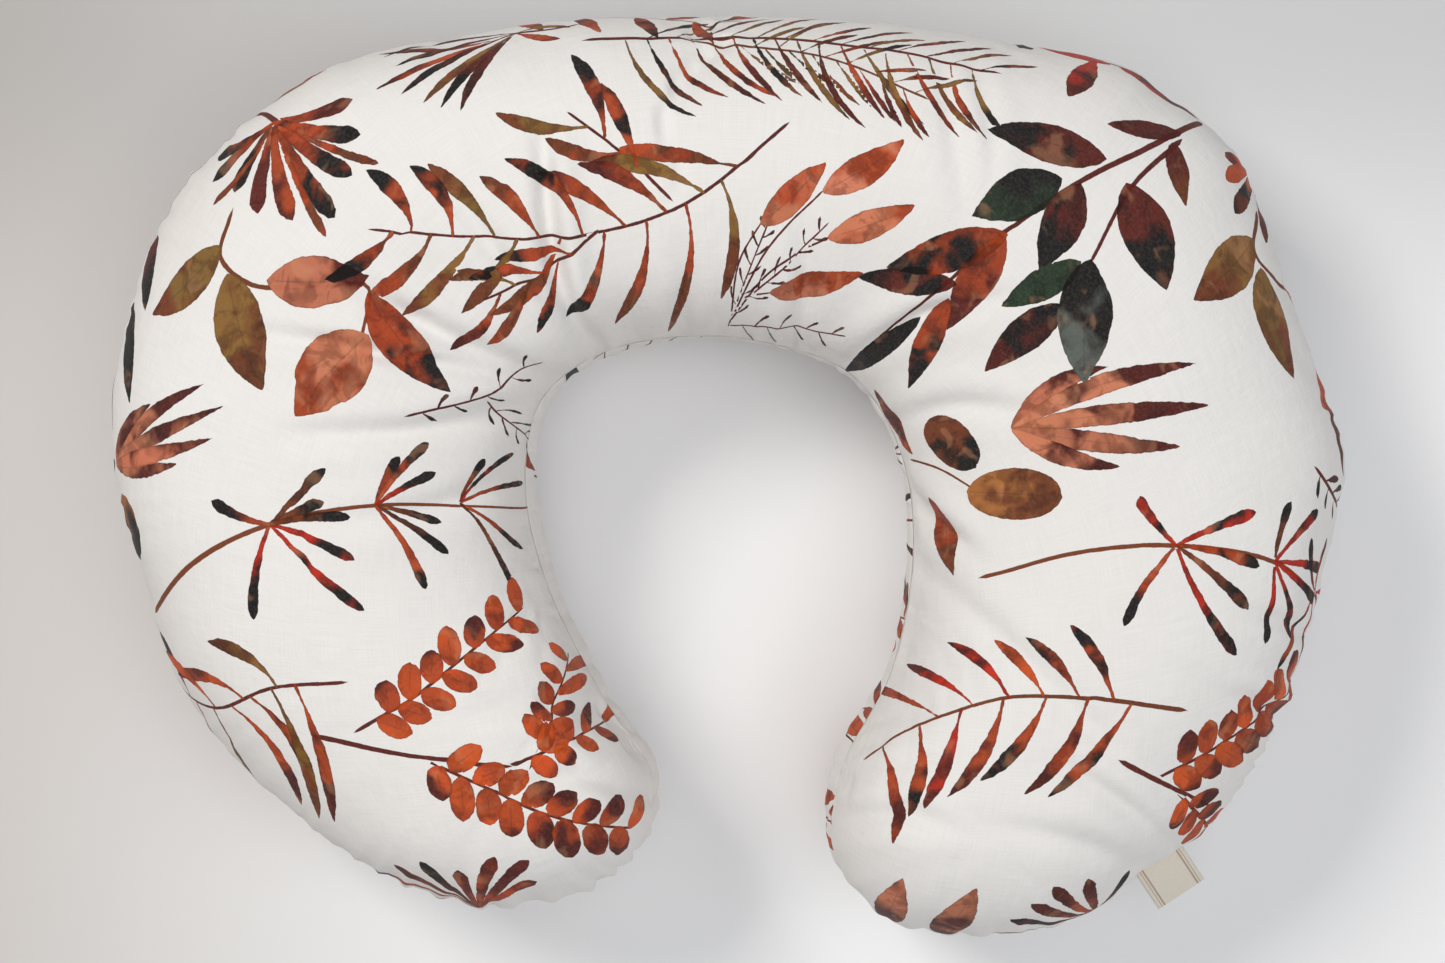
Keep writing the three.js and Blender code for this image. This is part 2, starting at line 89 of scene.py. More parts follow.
def catmull_rom(points, closed, per_segment=12):
    """A centripetal Catmull-Rom curve through the points, densely sampled."""
    p = np.array(points, float)
    if closed:
        p = np.vstack([p[-1], p, p[0], p[1]])
    else:
        p = np.vstack([2 * p[0] - p[1], p, 2 * p[-1] - p[-2]])
    pieces = []
    t = np.linspace(0, 1, per_segment, endpoint=False)[:, None]
    for a, b, c, d in zip(p[:-3], p[1:-2], p[2:-1], p[3:]):
        da, db, dc = (math.sqrt(np.linalg.norm(q)) for q in (b - a, c - b, d - c))
        m0 = ((b - a) / da - (c - a) / (da + db) + (c - b) / db) * db
        m1 = ((c - b) / db - (d - b) / (db + dc) + (d - c) / dc) * db
        cubic = (2 * b - 2 * c + m0 + m1) * t**3 + (-3 * b + 3 * c - 2 * m0 - m1) * t**2 + m0 * t + b
        pieces.append(cubic)
    if not closed:
        pieces.append(p[-2:-1])
    return np.vstack(pieces)


def along(curve, count):
    """Evenly spaced points on a sampled curve, and its unit tangents there."""
    steps = np.linalg.norm(np.diff(curve, axis=0), axis=1)
    length = np.concatenate([[0], np.cumsum(steps)])
    at = np.linspace(0, length[-1], count)
    points = np.stack([np.interp(at, length, curve[:, k]) for k in range(curve.shape[1])], 1)
    tangents = np.gradient(points, axis=0)
    return points, tangents / np.linalg.norm(tangents, axis=1, keepdims=True)


def reach(origins, ways, ring):
    """How far each ray in plan runs before it leaves a closed ring, and where round the ring that is."""
    edge = np.roll(ring, -1, 0) - ring
    lengths = np.linalg.norm(edge, axis=1)
    before = np.concatenate([[0], np.cumsum(lengths)[:-1]])
    gap = ring[None] - origins[:, None]
    cross = ways[:, None, 0] * edge[None, :, 1] - ways[:, None, 1] * edge[None, :, 0]
    cross = np.where(np.abs(cross) < 1e-12, 1e-12, cross)
    run = (gap[..., 0] * edge[None, :, 1] - gap[..., 1] * edge[None, :, 0]) / cross
    share = (gap[..., 0] * ways[:, None, 1] - gap[..., 1] * ways[:, None, 0]) / cross
    run = np.where((run > 0) & (share >= 0) & (share <= 1), run, np.inf)
    nearest = run.argmin(1)
    rows = np.arange(len(origins))
    return run[rows, nearest], before[nearest] + share[rows, nearest] * lengths[nearest]


def unit(v):
    return v / np.maximum(np.linalg.norm(v, axis=-1, keepdims=True), 1e-9)


def smoothstep(x, low, high):
    t = np.clip((x - low) / (high - low), 0, 1)
    return t * t * (3 - 2 * t)


def halve(grid, times=1):
    """A grid with each step halved, by a smooth four-point rule."""
    for _ in range(times):
        for axis in (0, 1):
            g = np.moveaxis(grid, axis, 0)
            ends = np.concatenate([2 * g[:1] - g[1:2], g, 2 * g[-1:] - g[-2:-1]])
            middle = (9 * (ends[1:-2] + ends[2:-1]) - ends[:-3] - ends[3:]) / 16
            out = np.empty((2 * len(g) - 1,) + g.shape[1:])
            out[::2], out[1::2] = g, middle
            grid = np.moveaxis(out, 0, axis)
    return grid


def lattice(shape, seed):
    """Seeded random numbers from -1 to 1."""
    return np.random.default_rng(seed).uniform(-1, 1, shape)


def cloud_noise(points, seed, size):
    """Three-dimensional value noise from -1 to 1."""
    knots = lattice((32, 32, 32), seed)
    f = np.asarray(points, float) / size + 1000.0
    i = np.floor(f).astype(int)
    t = f - i
    t = t * t * (3 - 2 * t)
    total = 0
    for dx in (0, 1):
        for dy in (0, 1):
            for dz in (0, 1):
                weight = (
                    (t[..., 0] if dx else 1 - t[..., 0])
                    * (t[..., 1] if dy else 1 - t[..., 1])
                    * (t[..., 2] if dz else 1 - t[..., 2])
                )
                corner = knots[(i[..., 0] + dx) % 32, (i[..., 1] + dy) % 32, (i[..., 2] + dz) % 32]
                total = total + weight * corner
    return total


# ---- The skin ------------------------------------------------------------------------------------

def zip_arc(angle, radius):
    a = np.radians(angle)
    return np.stack([radius * np.sin(a), ZIP_CREST - ZIP_RADIUS + radius * np.cos(a)], -1)


def fit_to_cad(points):
    """Centres plan points on the CAD cover's box."""
    low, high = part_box("cover_top_panel")
    middle = np.array([low.x + high.x, low.y + high.y]) / 2 / MM
    return points - (outline_raw.min(0) + outline_raw.max(0)) / 2 + middle


outline_raw = catmull_rom([*zip_arc(np.linspace(-15, 15, 7), ZIP_RADIUS), *OUTLINE], closed=True)
outline = fit_to_cad(outline_raw)
spine_curve = fit_to_cad(catmull_rom(SPINE, closed=False))
zip_centre = fit_to_cad(np.array([[0.0, ZIP_CREST - ZIP_RADIUS]]))[0]


ring_steps = np.linalg.norm(np.roll(outline, -1, 0) - outline, axis=1)
ring_run = np.concatenate([[0], np.cumsum(ring_steps)])
ring_length = ring_run[-1]


def on_ring(place):
    """Points of the outline at distances round it."""
    closed = np.vstack([outline, outline[:1]])
    at = np.mod(place, ring_length)
    return np.stack([np.interp(at, ring_run, closed[:, k]) for k in (0, 1)], -1)


def ring_noise(place, seed, size):
    """Noise from -1 to 1 round the outline, with bumps of about that size, that closes on itself."""
    count = round(ring_length / size)
    knots = lattice(count, seed)
    f = np.mod(place, ring_length) / ring_length * count
    i = np.floor(f).astype(int)
    t = f - i
    t = t * t * (3 - 2 * t)
    return knots[i % count] * (1 - t) + knots[(i + 1) % count] * t


def evened(place, count, spread=0.045):
    """Distances round the outline, spread so that they don't crowd or cross, but kept at both ends."""
    width = int(count * spread * 4) | 1
    kernel = np.hanning(width + 2)[1:-1]
    kernel /= kernel.sum()
    reach_out = width // 2
    low = 2 * place[0] - place[1:reach_out + 1][::-1]
    high = 2 * place[-1] - place[-reach_out - 1:-1][::-1]
    smooth = np.convolve(np.concatenate([low, place, high]), kernel, "valid")
    share = np.arange(count) / (count - 1)
    inside = smoothstep(share, 0, 0.05) * smoothstep(-share, -1, -0.95)
    return place * (1 - inside) + smooth * inside


class Skin:
    """The grid of the pillow's skin: each point's place in plan, its depth from the seam and its section."""

    def __init__(self, refine):
        n = 2**refine
        strip, cap, half = STRIP * n, CAP * n, HALF_WIDTH * n
        middles, ways = along(spine_curve, strip + 1)
        normals = np.stack([-ways[:, 1], ways[:, 0]], 1)
        v = np.linspace(-1, 1, 2 * half + 1)
        u = np.linspace(0, 1, cap + 1)[1:]
        rows, turn, depth, share = [], [], [], []

        def add(middle, way, normal, x, y, s):
            rows.append(np.repeat(middle[None], len(v), 0))
            rho = np.hypot(x, y)
            safe = np.where(rho < 1e-9, 1, rho)
            turn.append((x[:, None] * way + y[:, None] * normal) / safe[:, None])
            depth.append(1 - np.minimum(rho, 1))
            share.append(np.full(len(v), s))

        def on_cap(k):
            """A row round a tip: the square grid's row at k, pressed onto a half disc."""
            return k * np.sqrt(1 - v * v / 2), v * np.sqrt(1 - k * k / 2)

        for k in u[::-1]:
            add(middles[0], -ways[0], normals[0], *on_cap(k), 0.0)
        for i in range(strip + 1):
            add(middles[i], ways[i], normals[i], 0 * v, v, i / strip)
        for k in u:
            add(middles[-1], ways[-1], normals[-1], *on_cap(k), 1.0)
        self.middle, self.turn = np.array(rows), np.array(turn)
        self.depth, self.share = np.array(depth), np.array(share)
        self._cast(normals, cap, half)
        self.outer = self._outerness(normals)
        foot = self.middle + self.turn * self.reach[..., None] - zip_centre
        angle = np.degrees(np.arctan2(foot[..., 0], foot[..., 1]))
        self.zip_angle = np.where(foot[..., 1] > ZIP_RADIUS * 0.9, angle, 180.0)

    def _cast(self, normals, cap, half):
        """Finds each point's foot on the outline: how far it is, and its place round the outline."""
        self.reach, self.round = np.zeros(self.depth.shape), np.zeros(self.depth.shape)
        strip = slice(cap, len(self.depth) - cap)
        middles = self.middle[strip, 0]
        for columns, sign in ((slice(0, half), -1), (slice(half, None), 1)):
            _, place = reach(middles, sign * normals, outline)
            place = evened(np.unwrap(place, period=ring_length), len(middles))
            spoke = on_ring(place) - middles
            self.reach[strip, columns] = np.linalg.norm(spoke, axis=1)[:, None]
            self.round[strip, columns] = place[:, None]
            self.turn[strip, columns] = unit(spoke)[:, None]
        for rows in (slice(0, cap), slice(-cap, None)):
            shape = self.depth[rows].shape
            run, place = reach(self.middle[rows].reshape(-1, 2), self.turn[rows].reshape(-1, 2), outline)
            self.reach[rows], self.round[rows] = run.reshape(shape), place.reshape(shape)

    def _outerness(self, normals):
        """1 on the outer side of the C, 0 on the inner side, and between them round the tips."""
        outside = np.linspace(-1, 1, self.depth.shape[1]) > 0
        outer = np.repeat(outside.astype(float)[None], len(self.depth), 0)
        count = (len(self.depth) - len(normals)) // 2
        for rows, end in ((slice(0, count), 0), (slice(-count, None), -1)):
            across = self.turn[rows] @ normals[end]
            outer[rows] = smoothstep(across, -0.9, 0.9)
        return outer

    def tilt(self):
        """The seam's angle on the section, in radians."""
        return np.radians(SEAM_TILT_INNER + (SEAM_TILT_OUTER - SEAM_TILT_INNER) * self.outer)

    def surface(self, side):
        """Points of the upper (side 1) or lower (side -1) half of the skin."""
        tilt = self.tilt()
        end = side * math.pi / 2
        angle = tilt + (end - tilt) * self.depth
        rise = TIP_RISE_SHARE + (1 - TIP_RISE_SHARE) * np.sqrt(np.sin(math.pi * self.share).clip(0))
        across = rounded(np.cos(angle).clip(0))
        height = np.where(angle > 0, CREST_RISE * rise, BELLY_DEPTH) * rounded(np.sin(angle))
        plan = self.middle + self.turn * (self.reach * across)[..., None]
        inward = ZIP_VALLEY * smoothstep(-np.abs(self.zip_angle), -19, -15) + SEAM_PINCH
        inward = inward * np.exp(-((self.depth / RIM_REACH) ** 2))
        plan -= self.turn * inward[..., None]
        floor = soft_floor(WIDEST_HEIGHT + height)
        return np.concatenate([plan, floor[..., None]], -1)


def rounded(x):
    return np.sign(x) * np.abs(x) ** ROUNDNESS


def soft_floor(z, blend=3.0):
    """Heights kept over the floor, with a small round where the skin meets it."""
    return 0.5 * (z + np.sqrt(z * z + blend * blend)) - blend / 2 * np.exp(-np.abs(z) / 40)


def boundary(shape):
    """Index arrays that run once round a grid's rim."""
    rows, columns = shape
    i = np.concatenate([
        np.arange(rows), np.full(columns - 2, rows - 1),
        np.arange(rows)[::-1], np.zeros(columns - 2, int),
    ])
    j = np.concatenate([
        np.full(rows, columns - 1), np.arange(columns - 2, 0, -1),
        np.zeros(rows, int), np.arange(1, columns - 1),
    ])
    return i, j


def grid_faces(ids, flip):
    """Quads of a grid of vertex numbers."""
    a, b, c, d = ids[:-1, :-1], ids[1:, :-1], ids[1:, 1:], ids[:-1, 1:]
    quads = np.stack([a, b, c, d] if flip else [a, d, c, b], -1)
    return quads.reshape(-1, 4)


def mesh_object(name, points, faces, smooth=True):
    """A mesh object from points in millimetres and an array of quads."""
    mesh = bpy.data.meshes.new(name)
    mesh.vertices.add(len(points))
    mesh.vertices.foreach_set("co", (np.asarray(points) * MM).astype(np.float32).ravel())
    faces = np.asarray(faces)
    mesh.loops.add(faces.size)
    mesh.loops.foreach_set("vertex_index", faces.astype(np.int32).ravel())
    mesh.polygons.add(len(faces))
    mesh.polygons.foreach_set("loop_start", np.arange(0, faces.size, faces.shape[1], dtype=np.int32))
    mesh.update(calc_edges=True)
    mesh.polygons.foreach_set("use_smooth", np.full(len(faces), smooth))
    mesh.validate()
    ob = bpy.data.objects.new(name, mesh)
    bpy.context.scene.collection.objects.link(ob)
    return ob


def closed_ids(shape):
    """Vertex numbers of the upper and lower grids of a closed skin that share their rim."""
    rows, columns = shape
    upper = np.arange(rows * columns).reshape(shape)
    lower = upper.copy()
    inner = (rows - 2) * (columns - 2)
    lower[1:-1, 1:-1] = rows * columns + np.arange(inner).reshape(rows - 2, columns - 2)
    return upper, lower


# ---- The cloth -----------------------------------------------------------------------------------

CLOTH = {"frames": 20, "pressure": 4.0, "excess": 0.022, "cap": 5.0}


def simulate_cover(skin):
    """Inflates the cover as cloth on a pinned seam. Returns how far each point of both halves moved."""
    top, bottom = skin.surface(1), skin.surface(-1)
    upper, lower = closed_ids(skin.depth.shape)
    points = np.zeros((lower.max() + 1, 3))
    points[lower.ravel()] = bottom.reshape(-1, 3)
    points[upper.ravel()] = top.reshape(-1, 3)
    faces = np.vstack([grid_faces(upper, True), grid_faces(lower, False)])
    ob = mesh_object("cloth", points, faces)
    pin = ob.vertex_groups.new(name="pin")
    rim = boundary(skin.depth.shape)
    pin.add([int(k) for k in upper[rim]], 1.0, "REPLACE")
    resting = [int(k) for k in lower[bottom[..., 2] < 1.5]]
    pin.add(resting, 0.6, "REPLACE")
    cloth = ob.modifiers.new("cloth", "CLOTH")
    s = cloth.settings
    s.quality = 5
    s.mass = 0.25
    s.tension_stiffness = 12
    s.compression_stiffness = 12
    s.shear_stiffness = 3
    s.bending_stiffness = 0.4
    s.shrink_min = -CLOTH["excess"]
    s.shrink_max = -CLOTH["excess"]
    s.vertex_group_mass = "pin"
    s.pin_stiffness = 3
    s.use_pressure = True
    s.uniform_pressure_force = CLOTH["pressure"]
    s.effector_weights.gravity = 0
    cloth.collision_settings.use_collision = False
    scene = bpy.context.scene
    for number in range(1, CLOTH["frames"] + 1):
        scene.frame_set(number)
    seen = ob.evaluated_get(bpy.context.evaluated_depsgraph_get())
    moved = np.empty(len(points) * 3, np.float32)
    seen.data.vertices.foreach_get("co", moved)
    moved = moved.reshape(-1, 3) / MM - points
    scene.frame_set(1)
    bpy.data.objects.remove(ob)
    length = np.linalg.norm(moved, axis=1, keepdims=True)
    moved *= np.tanh(length / CLOTH["cap"]) * CLOTH["cap"] / np.maximum(length, 1e-6)
    return moved[upper], moved[lower]


def grid_normals(points, side):
    """Outward unit normals of the upper (side 1) or lower (side -1) grid."""
    return side * unit(np.cross(np.gradient(points, axis=0), np.gradient(points, axis=1)))


# Creases of the stuffed cover: points in plan, half width, and depth before FOLD_DEPTH scales it
CREASES = [
    ([(-78, 140), (-75, 102), (-69, 75), (-57, 57)], 4.2, 4.2),
    ([(-152, 77), (-116, 57), (-76, 44)], 5.0, 3.6),
    ([(-195, 60), (-135, 50), (-80, 40)], 4.0, 2.8),
    ([(-180, 17), (-129, 20), (-86, 33)], 5.0, 2.8),
    ([(-165, -20), (-120, -12), (-86, 6)], 5.2, 1.6),
    ([(-120, 126), (-96, 92), (-72, 62)], 4.6, 1.9),
    ([(79, -4), (92, -20), (106, -33)], 4.0, 2.6),
    ([(84, -40), (120, -72), (170, -122)], 6.0, 1.8),
    ([(148, -126), (172, -143), (192, -162)], 4.6, 2.4),
    ([(118, -150), (150, -158), (180, -172)], 5.0, 1.6),
    ([(94, 172), (98, 140), (103, 108)], 5.0, 1.8),
    ([(107, 176), (112, 146), (112, 118)], 4.2, 1.3),
    ([(58, 52), (84, 68), (118, 76)], 4.4, 2.6),
    ([(72, 24), (100, 30), (134, 26)], 4.8, 1.8),
    ([(30, 58), (35, 84), (31, 112)], 4.6, 1.6),
    ([(-20, 60), (-16, 84), (-22, 104)], 4.6, 1.3),
    ([(-36, -140), (-62, -130), (-92, -136)], 4.6, 2.2),
    ([(-52, -106), (-80, -98), (-112, -102)], 5.0, 1.5),
    ([(50, -152), (74, -146), (102, -152)], 4.6, 2.2),
    ([(228, -60), (246, -66), (262, -74)], 4.0, 1.8),
    ([(222, -96), (240, -104), (252, -116)], 4.0, 1.8),
    ([(-200, 140), (-180, 120), (-168, 96)], 5.4, 1.2),
]
FOLD_DEPTH = 1.25


def path_coordinates(points, path):
    """Signed distance across a path, share along it, and how far past its ends, for points in plan."""
    points = np.asarray(points, float)
    best = np.full(len(points), np.inf)
    across, share, past = np.zeros(len(points)), np.zeros(len(points)), np.zeros(len(points))
    steps = np.linalg.norm(np.diff(path, axis=0), axis=1)
    total = max(steps.sum(), 1e-6)
    run = 0.0
    for k, (a, b) in enumerate(zip(path[:-1], path[1:])):
        way = (b - a) / max(steps[k], 1e-9)
        gap = points - a
        on = gap @ way
        side = gap[:, 1] * way[0] - gap[:, 0] * way[1]
        held = np.clip(on, 0.0, steps[k])
        distance = np.hypot(on - held, side)
        nearer = distance < best
        best = np.where(nearer, distance, best)
        off = np.where(on < 0, -on, np.where(on > steps[k], on - steps[k], 0))
        off = np.where((on < 0) & (k > 0), 0, off)
        off = np.where((on > steps[k]) & (k < len(steps) - 1), 0, off)
        across = np.where(nearer, np.where(off > 0, side, np.sign(side) * distance), across)
        share = np.where(nearer, (run + held) / total, share)
        past = np.where(nearer, off, past)
        run += steps[k]
    return across, share, past


def held_in(moved, skin, share=0.3):
    """Displacements with most of their outward part taken away, so that the outline keeps its size."""
    outward = np.sum(moved[..., :2] * skin.turn, -1).clip(0, None)
    held = moved.copy()
    held[..., :2] -= skin.turn * (outward * (1 - share))[..., None]
    return held


def crease_depths(plan):
    """How far each top point is pushed in or out by the creases."""
    flat = plan.reshape(-1, 2)
    depth = np.zeros(len(flat))
    for points, width, size in CREASES:
        path = catmull_rom(points, closed=False, per_segment=6)
        low, high = path.min(0) - 6 * width, path.max(0) + 6 * width
        near = np.nonzero(((flat > low) & (flat < high)).all(1))[0]
        across, share, past = path_coordinates(flat[near], path)
        fade = np.sin(np.pi * (0.12 + 0.82 * share)) ** 0.8 * np.exp(-((past / (2 * width)) ** 2))
        groove = -np.exp(-((across / width) ** 2))
        groove += 0.75 * np.exp(-(((across - 2 * width) / (1.5 * width)) ** 2))
        groove += 0.45 * np.exp(-(((across + 2.2 * width) / (1.7 * width)) ** 2))
        depth[near] += FOLD_DEPTH * size * fade * groove
    return depth.reshape(plan.shape[:2])


# Puckers along the seam, and the places where the cover is slackest, each with its size
GATHER = {"pitch": 14.0, "height": 4.0, "run": 18.0}
RIPPLE = {"pitch": 33.0, "height": 2.2, "run": 42.0}
SLACK_PLACES = [
    ((-215, 150), 60), ((-50, -180), 55), ((-130, -185), 60), ((262, 60), 60), ((250, -90), 50),
]


def slackness(skin):
    """How loosely the cover is gathered at each point's foot on the seam, from 0 to 1."""
    foot = on_ring(skin.round.ravel()).reshape(skin.round.shape + (2,))
    total = np.zeros(skin.round.shape)
    for place, size in SLACK_PLACES:
        distance = np.linalg.norm(foot - np.array(place), axis=-1)
        total = np.maximum(total, np.exp(-((distance / size) ** 2)))
    return total


def gather_heights(skin, side, arc):
    """Puckers that run in from the seam: short close ones, and longer soft ones."""
    seed = 20 + side
    seam_distance = skin.depth * arc
    near_zip = smoothstep(-np.abs(skin.zip_angle), -18, -13)
    loose = 0.45 + 0.55 * slackness(skin)
    turn = 2 * np.pi * skin.round / ring_length
    total = 0
    for kind, extra in ((GATHER, 0), (RIPPLE, 5)):
        phase = turn * round(ring_length / kind["pitch"]) + 5.2 * ring_noise(skin.round, seed + extra, 41)
        strength = 0.6 + 0.5 * ring_noise(skin.round, seed + extra + 1, 47)
        stray = 2.5 * ring_noise(skin.round, seed + extra + 3, 29)
        wave = np.cos(phase) + 0.4 * np.cos(phase * 2 + 1.1 + stray)
        length = kind["run"] * (1 + 0.45 * ring_noise(skin.round, seed + extra + 2, 23))
        rise = seam_distance / (seam_distance + 2.5) * np.exp(-seam_distance / length)
        total = total + kind["height"] * strength * wave * rise
    return total * loose * (1 - 0.6 * near_zip) * (0.45 + 0.55 * skin.outer)


def seam_wave(place):
    """How far the seam strays from its level, but not along the zip."""
    foot = on_ring(place) - zip_centre
    angle = np.degrees(np.arctan2(foot[..., 0], foot[..., 1]))
    zipped = (foot[..., 1] > ZIP_RADIUS * 0.9) * smoothstep(-np.abs(angle), -18, -14)
    return (1.5 * ring_noise(place, 61, 90) + 0.6 * ring_noise(place, 62, 31)) * (1 - zipped)


def cover_half(skin, side, moved):
    """The finished points of one half of the cover."""
    points = skin.surface(side) + moved
    normals = grid_normals(points, side)
    arc = skin.reach * ARC_PER_REACH
    push = gather_heights(skin, side, arc)
    inside = smoothstep(skin.depth, 0.0, 0.12)
    push += inside * (2.4 * cloud_noise(points, 3 + side, 66) + 0.8 * cloud_noise(points, 8 + side, 27))
    if side > 0:
        push += inside * crease_depths(points[..., :2])
    points = points + normals * push[..., None]
    open_zip = smoothstep(-np.abs(skin.zip_angle), -ZIP_HALF_ANGLE - 0.5, -ZIP_HALF_ANGLE + 0.1)
    lift = (0.2 + (ZIP_SLOT - 0.2) * open_zip) * np.exp(-skin.depth * arc / 11)
    points[..., 2] += side * lift + seam_wave(skin.round) * np.exp(-skin.depth * arc / 14)
    points[..., 2] = np.maximum(points[..., 2], 0.0)
    return points, open_zip


def turned_in_rim(skin, points, open_zip, side):
    """Two rows of points that carry a panel's rim round into its seam allowance."""
    rim = boundary(skin.depth.shape)
    edge, inward, zipped = points[rim], -skin.turn[rim], open_zip[rim][:, None]
    first = edge.copy()
    first[:, :2] += inward * 0.7
    first[:, 2] += side * 0.1
    last = edge.copy()
    last[:, :2] += inward * (SEAM_ALLOWANCE * (1 - zipped) + 0.4 * zipped)
    last[:, 2] += (side * (0.4 * (1 - zipped) + 6.5 * zipped))[:, 0]
    return rim, first, last


# ---- The flat cloth ------------------------------------------------------------------------------

def flatten(points):
    """Flat cloth coordinates in millimetres of a grid, by a low-stretch unwrap laid along its plan."""
    shape = points.shape[:2]
    ids = np.arange(shape[0] * shape[1]).reshape(shape)
    ob = mesh_object("flat", points.reshape(-1, 3), grid_faces(ids, True))
    bpy.context.view_layer.objects.active = ob
    ob.select_set(True)
    ob.data.uv_layers.new(name="UVMap")
    bpy.ops.object.mode_set(mode="EDIT")
    bpy.ops.mesh.select_all(action="SELECT")
    bpy.ops.uv.unwrap(method="MINIMUM_STRETCH", margin=0, correct_aspect=False)
    bpy.ops.object.mode_set(mode="OBJECT")
    loops = np.empty(len(ob.data.loops), np.int32)
    ob.data.loops.foreach_get("vertex_index", loops)
    coordinates = np.empty(len(loops) * 2, np.float32)
    ob.data.uv_layers[0].data.foreach_get("uv", coordinates)
    flat = np.zeros((ids.size, 2))
    flat[loops] = coordinates.reshape(-1, 2)
    flat = flat.reshape(shape + (2,))
    bpy.data.objects.remove(ob)
    real = np.linalg.norm(np.diff(points, axis=0), axis=-1).sum()
    drawn = np.linalg.norm(np.diff(flat, axis=0), axis=-1).sum()
    flat = flat * real / drawn
    plan = points[..., :2]
    middle = slice(shape[1] // 3, -(shape[1] // 3))
    a, b = flat[:, middle].reshape(-1, 2), plan[:, middle].reshape(-1, 2)
    a0, b0 = a.mean(0), b.mean(0)
    u, _, v = np.linalg.svd((a - a0).T @ (b - b0))
    return (flat - a0) @ (u @ v) + b0


def drawing_plan(skin):
    """The skin in plan, eased out past its rim so that its steep sides have room for the print."""
    depth = np.linspace(0, 1, 201)
    slope = -np.gradient(np.cos(np.pi / 2 * depth) ** ROUNDNESS, depth)

    def spread(least):
        run = np.maximum(slope, least)[::-1]
        total = np.concatenate([[0], np.cumsum((run[1:] + run[:-1]) / 2)])[::-1] * depth[1]
        return np.interp(skin.depth, depth, total)

    share = spread(0.3) + (spread(0.75) - spread(0.3)) * skin.outer
    return skin.middle + skin.turn * (skin.reach * share)[..., None]


class Cloth:
    """The map from the drawing plan to one cover panel's flat cloth."""

    FARTHEST = 25.0  # that a point may lie from the nearest grid point

    def __init__(self, plan, flat):
        self.plan, self.flat = plan[::2, ::2], flat[::2, ::2]

    def at(self, place):
        """The flat cloth point under a point of the drawing plan."""
        place = np.array(place, float)
        gap = np.linalg.norm(self.plan - place, axis=-1)
        i, j = np.unravel_index(gap.argmin(), gap.shape)
        i = min(max(i, 2), gap.shape[0] - 3)
        j = min(max(j, 2), gap.shape[1] - 3)
        plan, flat = (
            np.stack([grid[i + 2, j] - grid[i - 2, j], grid[i, j + 2] - grid[i, j - 2]], 1)
            for grid in (self.plan, self.flat)
        )
        turn = flat @ np.linalg.pinv(plan, rcond=0.08)
        offset = turn @ (place - self.plan[i, j])
        offset *= min(1.0, self.FARTHEST / max(np.linalg.norm(offset), 1e-6))
        return self.flat[i, j] + offset


# ---- The leaf print ------------------------------------------------------------------------------

def srgb(red, green, blue):
    """Linear colour from 0-255 screen values."""
    values = np.array([red, green, blue]) / 255
    return np.where(values <= 0.04045, values / 12.92, ((values + 0.055) / 1.055) ** 2.4)


INKS = {
    "rust": srgb(168, 66, 28), "red": srgb(186, 40, 16), "brown": srgb(112, 56, 28),
    "maroon": srgb(88, 28, 20), "ink": srgb(22, 18, 18), "olive": srgb(134, 96, 44),
    "tan": srgb(168, 104, 52), "clay": srgb(198, 118, 86), "moss": srgb(36, 54, 36),
    "orange": srgb(196, 78, 26), "grey": srgb(96, 100, 94),
}

# Half width of a stroke, as a share of its widest, at each share of its length
PROFILES = {
    "leaf": lambda s: np.sin(np.pi * np.clip(s, 0, 1) ** 0.85) ** 0.85,
    "slim": lambda s: np.maximum(
        np.sin(np.pi * np.clip(s, 0, 1) ** 1.25) ** 0.8 * (0.3 + 0.7 * s ** 0.5), 0.2 * (1 - s)
    ),
    "finger": lambda s: (0.28 + 0.72 * s ** 1.2) * np.sqrt(np.clip((1.02 - s) / 0.14, 0, 1)),
    "petal": lambda s: np.sin(np.pi * np.clip(s, 0, 1) ** 1.5) ** 0.8,
    "round": lambda s: np.sqrt(np.clip(1 - (2 * s - 1) ** 2, 0, 1)),
    "stem": lambda s: 1 - 0.3 * s,
}
LAYERS = 4  # the first holds stems, the others leaves
UNPAINTED = -8.0  # half width where no stroke has reached a face


class Print:
    """Strokes of the print on one panel: for each face and layer, the stroke that covers most of it."""

    def __init__(self, corners):
        self.corners = corners
        self.low, self.high = corners.min(1), corners.max(1)
        count = len(corners)
        self.cover = np.full((LAYERS, count), -1.0)
        self.shape = np.zeros((LAYERS, count, 4, 3), np.float32)
        self.shape[..., 1] = UNPAINTED
        self.base = np.zeros((LAYERS, count, 4), np.float32)
        self.tip = np.zeros((LAYERS, count, 4), np.float32)

    def stroke(self, path, width, profile, base, tip, layer):
        low, high = path.min(0) - width - 2, path.max(0) + width + 2
        near = np.nonzero(((self.high > low) & (self.low < high)).all(1))[0]
        if not len(near):
            return
        across, share, past = path_coordinates(self.corners[near].reshape(-1, 2), path)
        half = width * PROFILES[profile](share) - past * (0.3 if profile == "stem" else 1.2)
        inside = (half - np.abs(across)).reshape(-1, 4).max(1)
        better = inside > self.cover[layer, near]
        chosen = near[better]
        values = np.stack([across, half, share], -1).reshape(-1, 4, 3)
        self.cover[layer, chosen] = inside[better]
        self.shape[layer, chosen] = values[better]
        self.base[layer, chosen] = (*base, 1)
        self.tip[layer, chosen] = (*tip, 1)


